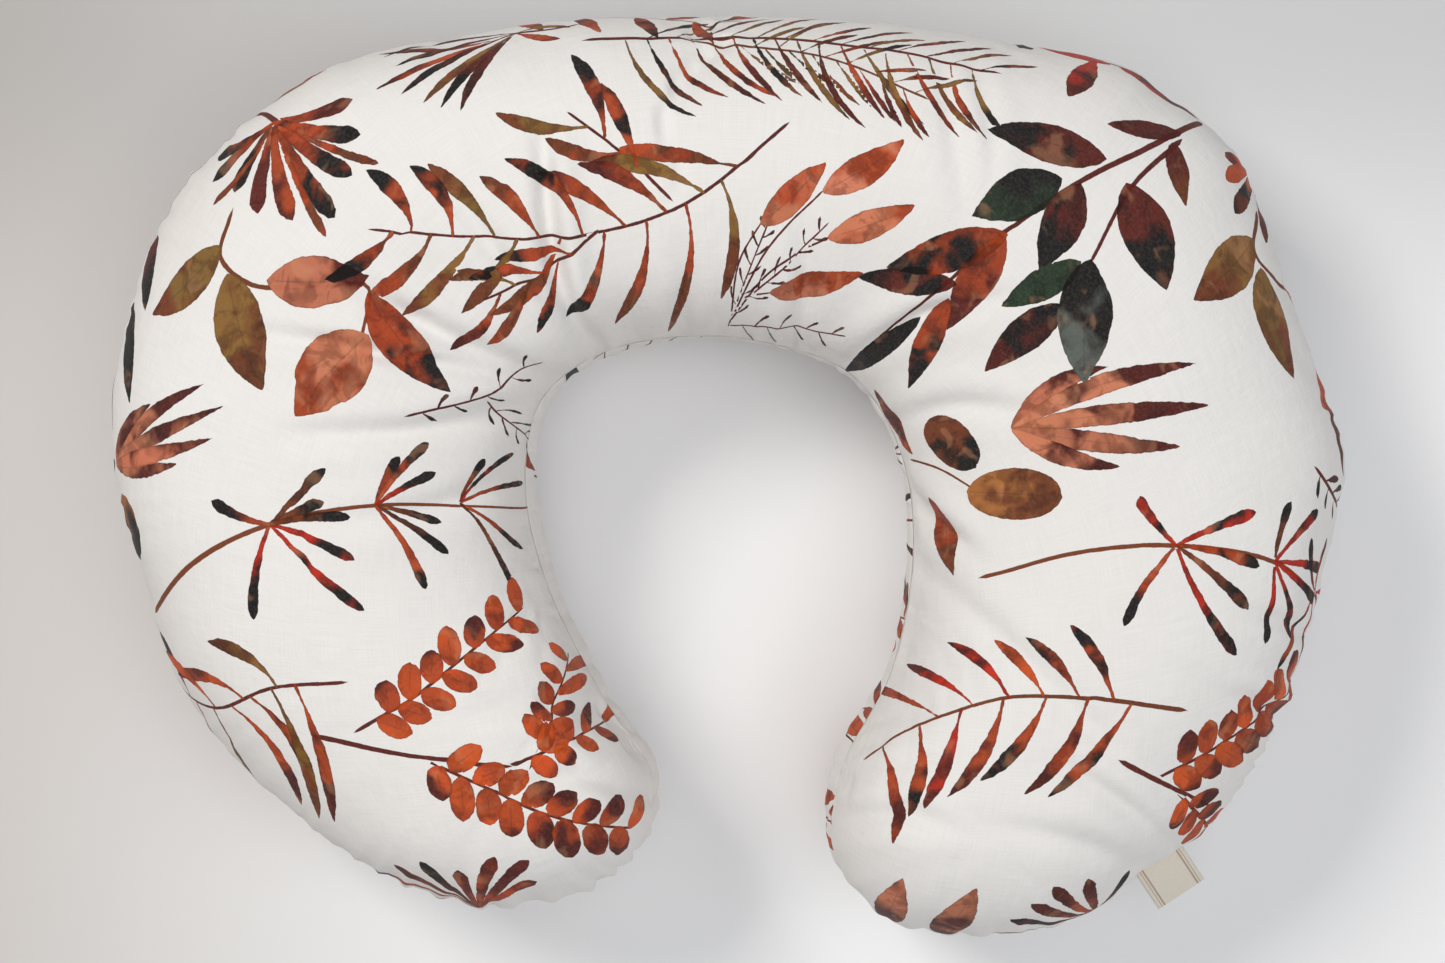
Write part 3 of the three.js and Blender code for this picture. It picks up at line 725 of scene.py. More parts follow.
class Brush:
    """Draws sprigs on a cloth. Lengths are in millimetres in plan, and headings in degrees from +X."""

    def __init__(self, cloth, sheet, seed, shift=(0, 0), mirror=1):
        self.cloth, self.sheet, self.shift, self.mirror = cloth, sheet, shift, mirror
        self.random = np.random.default_rng(seed)
        self.next_layer = 1

    def place(self, point):
        x, y = point
        return self.cloth.at(((x + self.shift[0]) * self.mirror, y + self.shift[1]))

    def ink(self, name):
        wobble = self.random.uniform(0.82, 1.16) * self.random.uniform(0.95, 1.05, 3)
        return np.clip(INKS[name] * wobble, 0, 1)

    def leaf(self, point, heading, length, width, profile="leaf", inks=("rust", "brown"), bend=0.0):
        """One leaf from its foot, which bends by so many radians on the way to its tip."""
        layer = self.next_layer
        self.next_layer = self.next_layer % (LAYERS - 1) + 1
        angle = math.radians(heading) - bend / 2 + bend * np.linspace(0, 1, 9)[:-1]
        steps = np.stack([np.cos(angle), np.sin(angle)], 1) * length / 8
        path = np.array(point, float) + np.vstack([[0, 0], np.cumsum(steps, 0)])
        path = np.array([self.place(p) for p in path])
        self.sheet.stroke(path, width, profile, self.ink(inks[0]), self.ink(inks[1]), layer)

    def stem(self, points, width=0.8, ink="maroon"):
        """A stem through points in plan."""
        line = catmull_rom(points, closed=False, per_segment=6)
        path = np.array([self.place(p) for p in line])
        self.sheet.stroke(path, width, "stem", self.ink(ink), self.ink(ink), 0)
        return line

    def fan(self, point, headings, lengths, width, profile="slim", inks=("rust", "maroon"), bend=0.4):
        """Leaves that spread from one point."""
        for heading, length in zip(headings, lengths):
            lean = bend * (1 if math.sin(math.radians(heading - headings[0])) > 0 else -1)
            colours = inks[self.random.integers(len(inks))] if isinstance(inks[0], tuple) else inks
            self.leaf(point, heading, length, width, profile, colours, lean * self.random.uniform(0.4, 1.2))

    def sprig(self, points, count, length, width, spread, profile="slim", inks=(("rust", "brown"),),
              ends=(0.1, 1.0), sides=(1, -1), bend=0.7, ink="maroon", thickness=0.8, taper=0.3):
        """A stem with leaves set along its sides."""
        line = self.stem(points, thickness, ink)
        steps = np.linalg.norm(np.diff(line, axis=0), axis=1)
        run = np.concatenate([[0], np.cumsum(steps)]) / steps.sum()

        def on_line(at):
            return np.array([np.interp(at, run, line[:, 0]), np.interp(at, run, line[:, 1])])

        for side in sides:
            for k in range(count):
                at = ends[0] + (ends[1] - ends[0]) * (k + (0.5 if side > 0 else 0.0)) / count
                way = on_line(at + 0.03) - on_line(at - 0.03)
                heading = math.degrees(math.atan2(way[1], way[0]))
                heading += side * (spread + self.random.uniform(-7, 7))
                size = length * (1 - taper * at) * self.random.uniform(0.85, 1.1)
                colours = inks[self.random.integers(len(inks))]
                lean = -side * bend * self.random.uniform(0.4, 1.3)
                self.leaf(on_line(at), heading, size, width, profile, colours, lean)


EARTH = (("rust", "brown"), ("rust", "maroon"), ("brown", "rust"), ("olive", "brown"), ("rust", "ink"))
WARM = (("rust", "maroon"), ("orange", "rust"), ("rust", "ink"), ("red", "maroon"))
DARK = (("maroon", "ink"), ("ink", "maroon"), ("brown", "ink"))
DARK_TIPS = (("rust", "ink"), ("brown", "ink"), ("red", "ink"))
NEEDLES = (("olive", "brown"), ("brown", "maroon"), ("olive", "ink"), ("rust", "maroon"), ("ink", "brown"))
EMBERS = (("orange", "rust"), ("rust", "maroon"), ("orange", "maroon"), ("rust", "orange"))
WILLOW = (("rust", "maroon"), ("olive", "brown"), ("rust", "ink"), ("orange", "maroon"))


def draw_arch(b):
    """Sprigs along the back of the C."""
    b.sprig([(25, 147), (-16, 114), (-57, 100), (-111, 99), (-150, 104)], 9, 56, 4.1, 46, "slim", EARTH,
            (0.14, 1.0), (1, -1), 1.0)
    b.sprig([(-24, 116), (-44, 136), (-66, 152)], 2, 42, 3.8, 26, "slim", EARTH, (0.35, 1.0), taper=0.1)
    b.sprig([(-54, 101), (-76, 84), (-100, 72)], 3, 36, 3.4, 26, "slim", EARTH, (0.25, 1.0), taper=0.1)
    pine = [(-58, 184), (2, 189), (65, 181), (114, 170)]
    b.sprig(pine, 17, 46, 1.7, 50, "slim", NEEDLES, (0.08, 1.0), (-1,), 0.9, "maroon", 1.1, 0.15)
    b.sprig(pine, 13, 34, 1.4, 22, "slim", NEEDLES, (0.1, 1.0), (1,), 0.3, "brown", 0.8, 0.15)
    b.sprig([(-20, 188), (40, 178), (84, 158)], 8, 30, 1.4, 34, "slim", NEEDLES, (0.25, 1.0), (-1, 1),
            0.4, "brown", 0.8, 0.1)
    foot = (2, 66)
    for tip, heading, length in (
        ((14, 104), 46, 40), ((40, 118), 34, 42), ((42, 98), 22, 40), ((18, 76), 10, 40),
    ):
        b.stem([foot, ((foot[0] + tip[0]) / 2 - 3, (foot[1] + tip[1]) / 2 + 3), tip], 0.7, "maroon")
        b.leaf(tip, heading, length, 6.8, "leaf", ("clay", "rust"), 0.25)
    bud = {"profile": "finger", "inks": (("maroon", "maroon"),), "thickness": 0.6}
    b.sprig([(1, 64), (9, 84), (18, 106)], 5, 9, 1.0, 36, **bud)
    b.sprig([(6, 72), (24, 86), (42, 104)], 5, 9, 1.0, 36, **bud)
    b.stem([(206, 152), (176, 136), (151, 124), (120, 104), (95, 82), (58, 50)], 1.2, "maroon")
    b.stem([(192, 140), (170, 120), (154, 90)], 1.0, "maroon")
    for x, y, heading, length, width, inks in (
        (160, 132, 166, 52, 8.6, ("maroon", "ink")), (194, 144, 174, 34, 4.4, ("maroon", "maroon")),
        (190, 140, 278, 28, 4.8, ("maroon", "brown")), (168, 122, 290, 48, 11.5, ("maroon", "ink")),
        (141, 124, 204, 42, 10.0, ("ink", "moss")), (149, 122, 244, 42, 8.8, ("maroon", "ink")),
        (118, 100, 196, 54, 9.0, ("rust", "ink")), (117, 99, 238, 48, 9.4, ("rust", "maroon")),
        (96, 78, 176, 42, 6.4, ("maroon", "ink")), (92, 72, 248, 40, 7.8, ("rust", "ink")),
        (80, 63, 214, 34, 7.4, ("ink", "ink")), (150, 90, 210, 42, 7.0, ("moss", "moss")),
        (154, 91, 266, 54, 12.0, ("ink", "grey")), (142, 70, 220, 46, 8.6, ("ink", "maroon")),
    ):
        b.leaf((x, y), heading, length, width, "leaf", inks, b.random.uniform(-0.35, 0.35))
    b.stem([(166, 180), (178, 177), (196, 164), (205, 156)], 1.0, "maroon")
    b.leaf((168, 178), 156, 32, 8.0, "leaf", ("red", "red"))
    b.leaf((162, 181), 232, 28, 4.4, "petal", ("red", "maroon"))
    b.leaf((172, 178), 326, 42, 6.6, "leaf", ("red", "maroon"))
    for k in range(8):
        b.leaf((-92 + 13 * k, 200), (36 if k % 2 else -40) - 3 * k, 17, 3.0, "leaf", EARTH[k % len(EARTH)])


def draw_shoulders(b):
    """Clusters and broad leaves on the left shoulder, and their repeat on the right one."""
    b.fan((-91, 189), [184, 191, 198, 205, 213, 222, 231, 241, 4, 350],
          [62, 60, 54, 64, 56, 50, 46, 42, 24, 20], 2.6, "slim",
          (("rust", "maroon"), ("olive", "brown"), ("maroon", "ink")), 0.5)
    b.stem([(-91, 189), (-76, 190), (-66, 193)], 1.0)
    b.fan((-193, 151), [204, 224, 244, 264, 284, 304, 326, 350, 14],
          [30, 36, 34, 40, 44, 50, 42, 38, 34], 4.3, "finger",
          (("rust", "maroon"), ("rust", "ink"), ("brown", "ink")), 0.5)
    b.fan((-193, 151), [234, 296, 338], [44, 56, 50], 2.0, "finger", ("rust", "brown"), 0.4)
    b.stem([(-193, 151), (-202, 157), (-214, 160)], 1.1)
    b.fan((238, 138), [186, 208, 232, 262, 288, 310], [24, 28, 34, 38, 44, 40], 3.8, "finger", WARM, 0.4)
    for x, y, size in ((0, 0, 1.0), (439, 3, 0.95)):
        b.stem([(-210 + x, 109 + y), (-214 + x, 92 + y), (-200 + x, 80 + y), (-172 + x, 80 + y),
                (-150 + x, 79 + y), (-152 + x, 56 + y)], 1.0, "brown")
        b.leaf((-214 + x, 97 + y), 222, 42 * size, 8.8, "leaf", ("olive", "brown"), -0.3)
        b.leaf((-211 + x, 85 + y), 288, 52 * size, 11.0, "leaf", ("olive", "brown"), 0.25)
        b.leaf((-194 + x, 82 + y), 2, 45 * size, 10.6, "leaf", ("clay", "maroon"), 0.2)
        b.leaf((-150 + x, 76 + y), 311, 55 * size, 11.0, "leaf", ("rust", "ink"), 0.3)
        b.leaf((-149 + x, 58 + y), 226, 47 * size, 14.5, "leaf", ("clay", "rust"), 0.2)
    b.leaf((-251, 106), 274, 36, 6.2, "leaf", ("maroon", "ink"))
    b.leaf((-259, 76), 276, 46, 5.6, "leaf", ("ink", "ink"))
    b.leaf((-272, 66), 274, 48, 3.4, "leaf", ("ink", "maroon"))
    b.leaf((-230, 147), 34, 24, 4.4, "leaf", ("maroon", "brown"))
    b.leaf((-203, 165), 22, 24, 3.6, "leaf", ("olive", "brown"))
    b.leaf((-176, 178), 200, 22, 3.6, "leaf", ("rust", "brown"))
    b.stem([(-208, 163), (-236, 132), (-254, 106), (-268, 66), (-272, 30)], 0.9, "maroon")


def draw_legs(b):
    """Sprigs down both legs of the C."""
    for x, y, turn, size in ((-265, 5, 17, 0.66), (117, 18, 0, 1.0)):
        for heading, length, lean in (
            (29, 52, -0.8), (18, 86, -0.45), (7, 88, -0.1), (-4, 76, 0.2), (-15, 52, 0.6),
        ):
            b.leaf((x, y), heading + turn, length * size, 4.3 * size + 0.3, "leaf", ("clay", "maroon"), lean)
    b.leaf((-262, -8), 284, 29, 11.0, "round", ("tan", "ink"))
    b.stem([(80, 6), (88, 2), (100, -6)], 0.8, "brown")
    b.leaf((84, 22), 312, 27, 11.5, "round", ("brown", "ink"))
    b.leaf((99, -8), 357, 40, 13.5, "round", ("tan", "brown"))
    b.leaf((86, -10), 284, 34, 7.2, "leaf", ("rust", "brown"))
    b.leaf((64, 36), 300, 32, 7.0, "leaf", ("maroon", "rust"))
    b.stem([(-250, -59), (-224, -36), (-193, -21), (-146, -13), (-86, -14)], 1.1, "brown")
    b.fan((-193, -21), [156, 42, 20, 4, 338, 320, 262], [26, 34, 26, 36, 40, 54, 40], 2.8,
          "finger", DARK_TIPS, 0.4)
    b.fan((-146, -13), [62, 48, 28, 345, 326, 300], [22, 34, 28, 28, 36, 40], 2.7, "finger", DARK_TIPS, 0.4)
    b.fan((-110, -12), [66, 48, 20, 320, 300], [20, 28, 24, 30, 42], 2.5, "finger", DARK_TIPS, 0.4)
    b.stem([(107, -43), (146, -33), (190, -30), (232, -37), (254, -52)], 1.1, "brown")
    b.fan((190, -30), [128, 22, 345, 318, 300, 236], [26, 36, 36, 40, 52, 40], 2.8, "finger", DARK_TIPS, 0.4)
    b.fan((232, -37), [72, 45, 350, 320, 285, 262], [26, 30, 26, 28, 34, 34], 2.5, "finger", DARK_TIPS, 0.4)
    b.fan((254, -51), [100, 70, 350, 300, 270, 240], [24, 24, 24, 28, 32, 36], 2.4, "finger", DARK_TIPS, 0.4)
    for points in ([(-132, 24), (-104, 32), (-80, 48)], [(-100, 30), (-92, 22), (-82, 12)]):
        b.sprig(points, 4, 9, 1.2, 40, "finger", (("maroon", "ink"),), thickness=0.7)
    b.sprig([(2, 64), (26, 62), (50, 57)], 4, 8, 1.2, 40, "finger", (("maroon", "ink"),), thickness=0.7)
    b.leaf((-266, -38), 284, 28, 3.8, "leaf", ("rust", "brown"))
    b.leaf((262, 50), 280, 52, 5.0, "leaf", ("brown", "maroon"))
    b.sprig([(252, 2), (262, -8), (272, -14)], 3, 12, 1.5, 45, "slim", DARK, thickness=0.8)


def draw_tips(b):
    """Ferns, willow sprigs and fans near the two tips."""
    fern = {"profile": "round", "inks": EMBERS, "bend": 0.0, "taper": 0.15}
    b.stem([(-172, -111), (-134, -119), (-93, -123)], 1.2, "maroon")
    b.sprig([(-156, -108), (-134, -95), (-110, -76), (-86, -56)], 7, 17.5, 5.0, 55, ends=(0.1, 1.05), **fern)
    b.sprig([(-132, -119), (-104, -132), (-72, -146), (-42, -154)], 8, 17.5, 5.0, 60,
            ends=(0.1, 1.05), **fern)
    b.sprig([(-82, -122), (-74, -104), (-68, -78)], 5, 13, 4.2, 55, ends=(0.15, 1.05), **fern)
    b.sprig([(-93, -123), (-68, -114), (-48, -106)], 4, 14, 4.2, 58, ends=(0.25, 1.05), **fern)
    b.stem([(169, -122), (186, -131), (208, -142)], 1.1, "maroon")
    b.sprig([(184, -129), (206, -118), (230, -102), (254, -82)], 8, 16.5, 4.8, 60, ends=(0.1, 1.05), **fern)
    b.sprig([(194, -136), (208, -150), (222, -164)], 5, 14, 4.4, 60, ends=(0.1, 1.05), **fern)
    willow = [(-163, -88), (-193, -90), (-220, -100), (-250, -92)]
    b.sprig(willow, 4, 40, 3.2, 38, "slim", WILLOW, (0.3, 1.0), (-1,), 0.8, taper=0.1)
    b.sprig(willow, 6, 60, 3.3, 98, "slim", WILLOW, (0.16, 0.84), (1,), 0.7, taper=0.1)
    willow = [(192, -99), (150, -94), (115, -94), (79, -108), (60, -124)]
    b.sprig(willow, 7, 52, 3.6, 52, "slim", WARM, (0.08, 1.0), (1,), 0.8, "brown", 1.0, 0.1)
    b.sprig(willow, 6, 38, 3.2, 44, "slim", WARM, (0.2, 0.85), (-1,), 0.6, "brown", 0.7, 0.1)
    b.fan((-108, -187), [174, 162, 150, 134, 110, 70, 46, 28],
          [54, 48, 40, 32, 20, 26, 32, 28], 3.4, "finger",
          (("rust", "maroon"), ("maroon", "ink")), 0.4)
    b.fan((166, -194), [188, 174, 160, 142, 115, 65, 40, 20], [48, 42, 36, 32, 24, 24, 28, 24], 3.2, "finger",
          (("rust", "maroon"), ("maroon", "ink")), 0.4)
    b.leaf((70, -200), 76, 28, 7.4, "leaf", ("maroon", "clay"))
    b.leaf((94, -204), 64, 32, 7.6, "leaf", ("maroon", "clay"))
    b.stem([(-98, 201), (-46, 200), (6, 199)], 0.7, "maroon")


def rim_place(place, beyond):
    """A point of the drawing plan off the outline, and the heading straight out from it in degrees."""
    way = on_ring(place + 1) - on_ring(place - 1)
    outward = np.array([-way[1], way[0]]) / np.linalg.norm(way)
    return on_ring(place) + outward * beyond, math.degrees(math.atan2(outward[1], outward[0]))


def draw_rim(b):
    """Small sprigs round the steep outer side, each turned its own way along it."""
    first, last = -0.24 * ring_length, 0.42 * ring_length
    count = 15
    for k in range(count):
        at = first + (last - first) * (k + b.random.uniform(-0.15, 0.15)) / (count - 1)
        foot, out = rim_place(at, 16)
        along_rim = 1 if k % 2 else -1
        tip, _ = rim_place(at - along_rim * 46, 27)
        middle, _ = rim_place(at - along_rim * 24, 17)
        kind = k % 5
        if kind == 0:
            b.sprig([foot, middle, tip], 5, 22, 2.6, 42, "slim", WILLOW, (0.1, 1.0), thickness=0.8)
        elif kind == 1:
            b.stem([foot, middle], 0.8, "brown")
            b.leaf(middle, out + 60 * along_rim, 30, 8.0, "leaf", ("olive", "brown"), 0.2)
            b.leaf(foot, out + 130 * along_rim, 26, 6.6, "leaf", ("rust", "ink"), 0.3)
        elif kind == 2:
            b.sprig([foot, middle, tip], 5, 12, 3.8, 58, "round", EMBERS, (0.1, 1.05), bend=0.0, taper=0.1)
        elif kind == 3:
            b.fan(middle, [out + turn for turn in (-150, -112, -74, -36, 4, 40)],
                  [26, 28, 24, 22, 20, 24], 2.6, "finger", DARK_TIPS, 0.4)
        else:
            b.leaf(foot, out - 70 * along_rim, 30, 7.4, "leaf", ("maroon", "ink"), 0.25)
            b.leaf(middle, out + 96 * along_rim, 26, 5.4, "leaf", ("clay", "maroon"), 0.3)


def draw_print(b):
    """The cover's print: loose autumn sprigs, drawn in the brush's own strokes."""
    draw_rim(b)
    draw_arch(b)
    draw_shoulders(b)
    draw_legs(b)
    draw_tips(b)


# ---- Node helpers --------------------------------------------------------------------------------

class Nodes:
    """Short ways of adding shader nodes to one material."""

    def __init__(self, name):
        self.material = bpy.data.materials.new(name)
        self.material.use_nodes = True
        self.tree = self.material.node_tree
        self.shader = self.tree.nodes["Principled BSDF"]

    def new(self, kind, **values):
        node = self.tree.nodes.new(kind)
        for key, value in values.items():
            setattr(node, key, value)
        return node

    def link(self, value, socket):
        if isinstance(value, bpy.types.NodeSocket):
            self.tree.links.new(value, socket)
        else:
            socket.default_value = value

    def math(self, operation, *values, clamp=False):
        node = self.new("ShaderNodeMath", operation=operation, use_clamp=clamp)
        for socket, value in zip(node.inputs, values):
            self.link(value, socket)
        return node.outputs[0]

    def add(self, a, b):
        return self.math("ADD", a, b)

    def times(self, a, b):
        return self.math("MULTIPLY", a, b)

    def ramp(self, value, low, high, out_low=0.0, out_high=1.0):
        """Smooth step of a value between two limits."""
        node = self.new("ShaderNodeMapRange", interpolation_type="SMOOTHSTEP")
        for socket, number in zip(node.inputs, (value, low, high, out_low, out_high)):
            self.link(number, socket)
        return node.outputs[0]

    def mix(self, share, a, b, kind="MIX"):
        node = self.new("ShaderNodeMix", data_type="RGBA", blend_type=kind)
        for socket, value in zip((node.inputs[0], node.inputs[6], node.inputs[7]), (share, a, b)):
            if isinstance(value, tuple) and len(value) == 3:
                value = (*value, 1)
            self.link(value, socket)
        return node.outputs[2]

    def scaled(self, vector, x, y, z):
        node = self.new("ShaderNodeVectorMath", operation="MULTIPLY")
        self.link(vector, node.inputs[0])
        node.inputs[1].default_value = (x, y, z)
        return node.outputs[0]

    def noise(self, vector, scale, detail=2.0, roughness=0.5, distortion=0.0):
        node = self.new("ShaderNodeTexNoise")
        self.link(vector, node.inputs["Vector"])
        values = {"Scale": scale, "Detail": detail, "Roughness": roughness, "Distortion": distortion}
        for name, value in values.items():
            node.inputs[name].default_value = value
        return node.outputs[0]

    def attribute(self, name, output):
        return self.new("ShaderNodeAttribute", attribute_name=name).outputs[output]

    def split(self, vector):
        node = self.new("ShaderNodeSeparateXYZ")
        self.link(vector, node.inputs[0])
        return node.outputs

    def place(self):
        """Object coordinates in millimetres."""
        return self.scaled(self.new("ShaderNodeTexCoord").outputs["Object"], 1000, 1000, 1000)

    def bump(self, height, distance, strength=1.0, below=None):
        node = self.new("ShaderNodeBump")
        node.inputs["Strength"].default_value = strength
        node.inputs["Distance"].default_value = distance * MM
        self.link(height, node.inputs["Height"])
        if below is not None:
            self.link(below, node.inputs["Normal"])
        return node.outputs[0]

    def finish(self, color, roughness, normal=None, **constants):
        self.link(color, self.shader.inputs["Base Color"])
        self.link(roughness, self.shader.inputs["Roughness"])
        if normal is not None:
            self.link(normal, self.shader.inputs["Normal"])
        for name, value in constants.items():
            self.shader.inputs[name.replace("_", " ")].default_value = value
        return self.material


def weave_height(n, flat, pitch):
    """Plain-weave relief from flat cloth coordinates in millimetres."""
    x, y, _ = n.split(flat)
    warp = n.math("SINE", n.times(x, 2 * math.pi / pitch))
    weft = n.math("SINE", n.times(y, 2 * math.pi / pitch))
    return n.add(n.times(n.times(warp, weft), 0.5), 0.5)


def yarn_tone(n, flat):
    """Slight light and dark streaks of uneven yarns, along both directions."""
    across = n.noise(n.scaled(flat, 2.4, 0.05, 1), 1.0, 1.0)
    down = n.noise(n.scaled(flat, 0.05, 2.4, 1), 1.0, 1.0)
    return n.add(n.times(across, 0.5), n.times(down, 0.5))


def print_layer(n, flat, ground, index):
    """Paints one layer of strokes over the ground colour, as pooled and bled watercolour."""
    across, half, share = n.split(n.attribute(f"stroke{index}", "Vector"))
    base, tip = n.attribute(f"base{index}", "Color"), n.attribute(f"tip{index}", "Color")
    shifted = n.new("ShaderNodeVectorMath", operation="ADD")
    n.link(flat, shifted.inputs[0])
    shifted.inputs[1].default_value = (37.0 * index, 19.0 * index, 0)
    flat = shifted.outputs[0]
    wobble = n.times(n.add(n.noise(flat, 0.22, 2.0, 0.6), -0.5), 1.5 if index else 0.5)
    inside = n.add(n.math("SUBTRACT", half, n.math("ABSOLUTE", across)), wobble)
    mask = n.ramp(inside, -0.14, 0.16)
    bloom = n.noise(flat, 0.065, 2.0, 0.5, 0.4)
    grain = n.noise(flat, 0.7, 3.0, 0.7)
    pigment = n.add(share, n.times(n.add(bloom, -0.5), 2.6))
    color = n.mix(n.ramp(pigment, 0.25, 0.85), base, tip)
    if index:
        pool = n.ramp(n.noise(flat, 0.085, 3.0, 0.6, 0.8), 0.46, 0.60, 0.0, 0.55)
        dark = n.mix(1.0, color, (0.32, 0.25, 0.22), "MULTIPLY")
        color = n.mix(pool, color, dark)
        wash = n.ramp(n.noise(n.scaled(flat, -1, 1, 1), 0.08, 2.0, 0.5, 0.6), 0.56, 0.70, 0.0, 0.5)
        light = n.mix(0.4, color, (0.72, 0.34, 0.17))
        color = n.mix(wash, color, light)
        vein = n.times(n.ramp(n.math("ABSOLUTE", across), 0.1, 0.45, 1.0, 0.0), n.ramp(half, 3.6, 5.0))
        color = n.mix(n.times(vein, 0.3), color, (0.03, 0.015, 0.01))
        rim = n.ramp(inside, 0.15, 0.8, 1.0, 0.0)
        color = n.mix(n.times(rim, 0.30), color, (0.03, 0.012, 0.01))
    color = n.mix(n.ramp(grain, 0.35, 0.8, 0.0, 0.035), color, ground)
    return n.mix(n.times(mask, 0.995), ground, color)


def printed_cotton():
    n = Nodes("printed_cotton")
    flat = n.attribute("cloth", "Vector")
    tone = yarn_tone(n, flat)
    soil = n.noise(n.place(), 0.012, 2.0)
    ground = n.mix(n.ramp(tone, 0.3, 0.7), (0.775, 0.755, 0.73), (0.835, 0.815, 0.79))
    ground = n.mix(n.ramp(soil, 0.35, 0.75, 0.0, 0.25), ground, (0.79, 0.76, 0.72))
    color = ground
    for index in range(LAYERS):
        color = print_layer(n, flat, color, index)
    relief = n.bump(weave_height(n, flat, 0.9), 0.05, 0.55)
    relief = n.bump(n.noise(flat, 1.1, 4.0, 0.7), 0.12, 0.5, relief)
    relief = n.bump(n.noise(n.scaled(flat, 0.16, 0.16, 1), 1.0, 3.0, 0.6), 0.9, 0.5, relief)
    rough = n.ramp(tone, 0.2, 0.8, 0.82, 0.93)
    return n.finish(color, rough, relief, Sheen_Weight=0.08, Sheen_Roughness=0.5, Specular_IOR_Level=0.2)


def plain_cotton():
    n = Nodes("liner_cotton")
    place = n.place()
    tone = n.noise(place, 0.35, 4.0, 0.7)
    color = n.mix(n.ramp(tone, 0.3, 0.75), (0.80, 0.79, 0.77), (0.87, 0.86, 0.84))
    relief = n.bump(weave_height(n, place, 0.8), 0.05, 0.6)
    relief = n.bump(n.noise(place, 0.2, 3.0), 0.6, 0.5, relief)
    return n.finish(color, n.ramp(tone, 0.2, 0.8, 0.84, 0.94), relief, Sheen_Weight=0.15)


def fibre():
    n = Nodes("polyester_fibre")
    place = n.place()
    strands = n.noise(n.scaled(place, 0.25, 1.2, 0.5), 1.0, 8.0, 0.8, 2.5)
    color = n.mix(n.ramp(strands, 0.3, 0.7), (0.78, 0.78, 0.76), (0.93, 0.93, 0.92))
    relief = n.bump(strands, 1.6, 0.8)
    rough = n.ramp(strands, 0.2, 0.8, 0.7, 0.95)
    return n.finish(color, rough, relief, Sheen_Weight=0.4, Sheen_Roughness=0.4)


def thread():
    n = Nodes("sewing_thread")
    place = n.place()
    twist = n.noise(n.scaled(place, 3, 3, 3), 1.0, 2.0)
    color = n.mix(twist, (0.78, 0.74, 0.68), (0.9, 0.87, 0.82))
    return n.finish(color, n.ramp(twist, 0.2, 0.8, 0.6, 0.8), n.bump(twist, 0.08), Sheen_Weight=0.2)


def ribbon():
    """Cream satin ribbon with two plain lines woven in beside each selvedge."""
    n = Nodes("label_ribbon")
    flat = n.attribute("cloth", "Vector")
    x, y, _ = n.split(flat)
    ribs = n.math("SINE", n.times(y, 2 * math.pi / 0.7))
    tone = n.noise(flat, 1.4, 3.0, 0.7)
    color = n.mix(n.ramp(tone, 0.3, 0.75), (0.74, 0.67, 0.56), (0.82, 0.76, 0.66))
    edge = n.math("ABSOLUTE", x)
    for low, high in ((8.6, 9.5), (10.2, 10.6)):
        line = n.times(n.ramp(edge, low - 0.1, low + 0.1), n.ramp(edge, high - 0.1, high + 0.1, 1.0, 0.0))
        color = n.mix(n.times(line, 0.75), color, (0.34, 0.23, 0.15))
    relief = n.bump(ribs, 0.05, 0.5)
    relief = n.bump(tone, 0.08, 0.5, relief)
    return n.finish(color, n.ramp(tone, 0.2, 0.8, 0.5, 0.68), relief, Sheen_Weight=0.25, Anisotropic=0.3)


def herringbone():
    n = Nodes("zip_tape")
    flat = n.attribute("cloth", "Vector")
    x, y, _ = n.split(flat)
    zigzag = n.math("PINGPONG", y, 1.5)
    rows = n.math("SINE", n.times(n.add(x, zigzag), 2 * math.pi / 0.9))
    tone = n.noise(flat, 1.2, 3.0)
    color = n.mix(n.ramp(tone, 0.3, 0.75), (0.70, 0.67, 0.61), (0.8, 0.77, 0.72))
    relief = n.bump(rows, 0.12, 0.7)
    return n.finish(color, n.ramp(tone, 0.2, 0.8, 0.78, 0.9), relief, Sheen_Weight=0.1)


def nylon():
    n = Nodes("zip_nylon")
    tone = n.noise(n.place(), 0.8, 3.0)
    color = n.mix(n.ramp(tone, 0.3, 0.7), (0.71, 0.67, 0.6), (0.79, 0.75, 0.69))
    return n.finish(color, n.ramp(tone, 0.2, 0.8, 0.32, 0.48), n.bump(tone, 0.03), Coat_Weight=0.1)


def painted_zinc():
    n = Nodes("zip_metal")
    place = n.place()
    wear = n.noise(place, 0.7, 5.0, 0.65)
    worn = n.ramp(wear, 0.66, 0.74)
    color = n.mix(worn, (0.74, 0.70, 0.64), (0.52, 0.51, 0.5))
    rough = n.ramp(wear, 0.3, 0.74, 0.36, 0.26)
    material = n.finish(color, rough, n.bump(wear, 0.06, 0.5), Coat_Weight=0.2)
    n.link(worn, n.shader.inputs["Metallic"])
    return material


# ---- Pieces --------------------------------------------------------------------------------------

def paint(ob, material):
    """Gives a piece its one material."""
    ob.data.materials.clear()
    ob.data.materials.append(material)


def give(ob, material, replaced):
    """Gives a piece its material and slot, rides it on the pillow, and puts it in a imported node's place."""
    paint(ob, material)
    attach(ob, "pillow")
    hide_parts(replaced)
    return ob


def cloth_attribute(ob, flat):
    """Stores flat cloth coordinates in millimetres at the vertices."""
    values = np.zeros((len(ob.data.vertices), 3), np.float32)
    values[:, :2] = flat
    ob.data.attributes.new("cloth", "FLOAT_VECTOR", "POINT").data.foreach_set("vector", values.ravel())


def rim_faces(ring, next_ring, side):
    """Quads between two closed rings of vertex numbers that follow a panel's rim."""
    a, b = ring, np.roll(ring, -1)
    c, d = np.roll(next_ring, -1), next_ring
    return np.stack([a, b, c, d] if side > 0 else [b, a, d, c], -1)


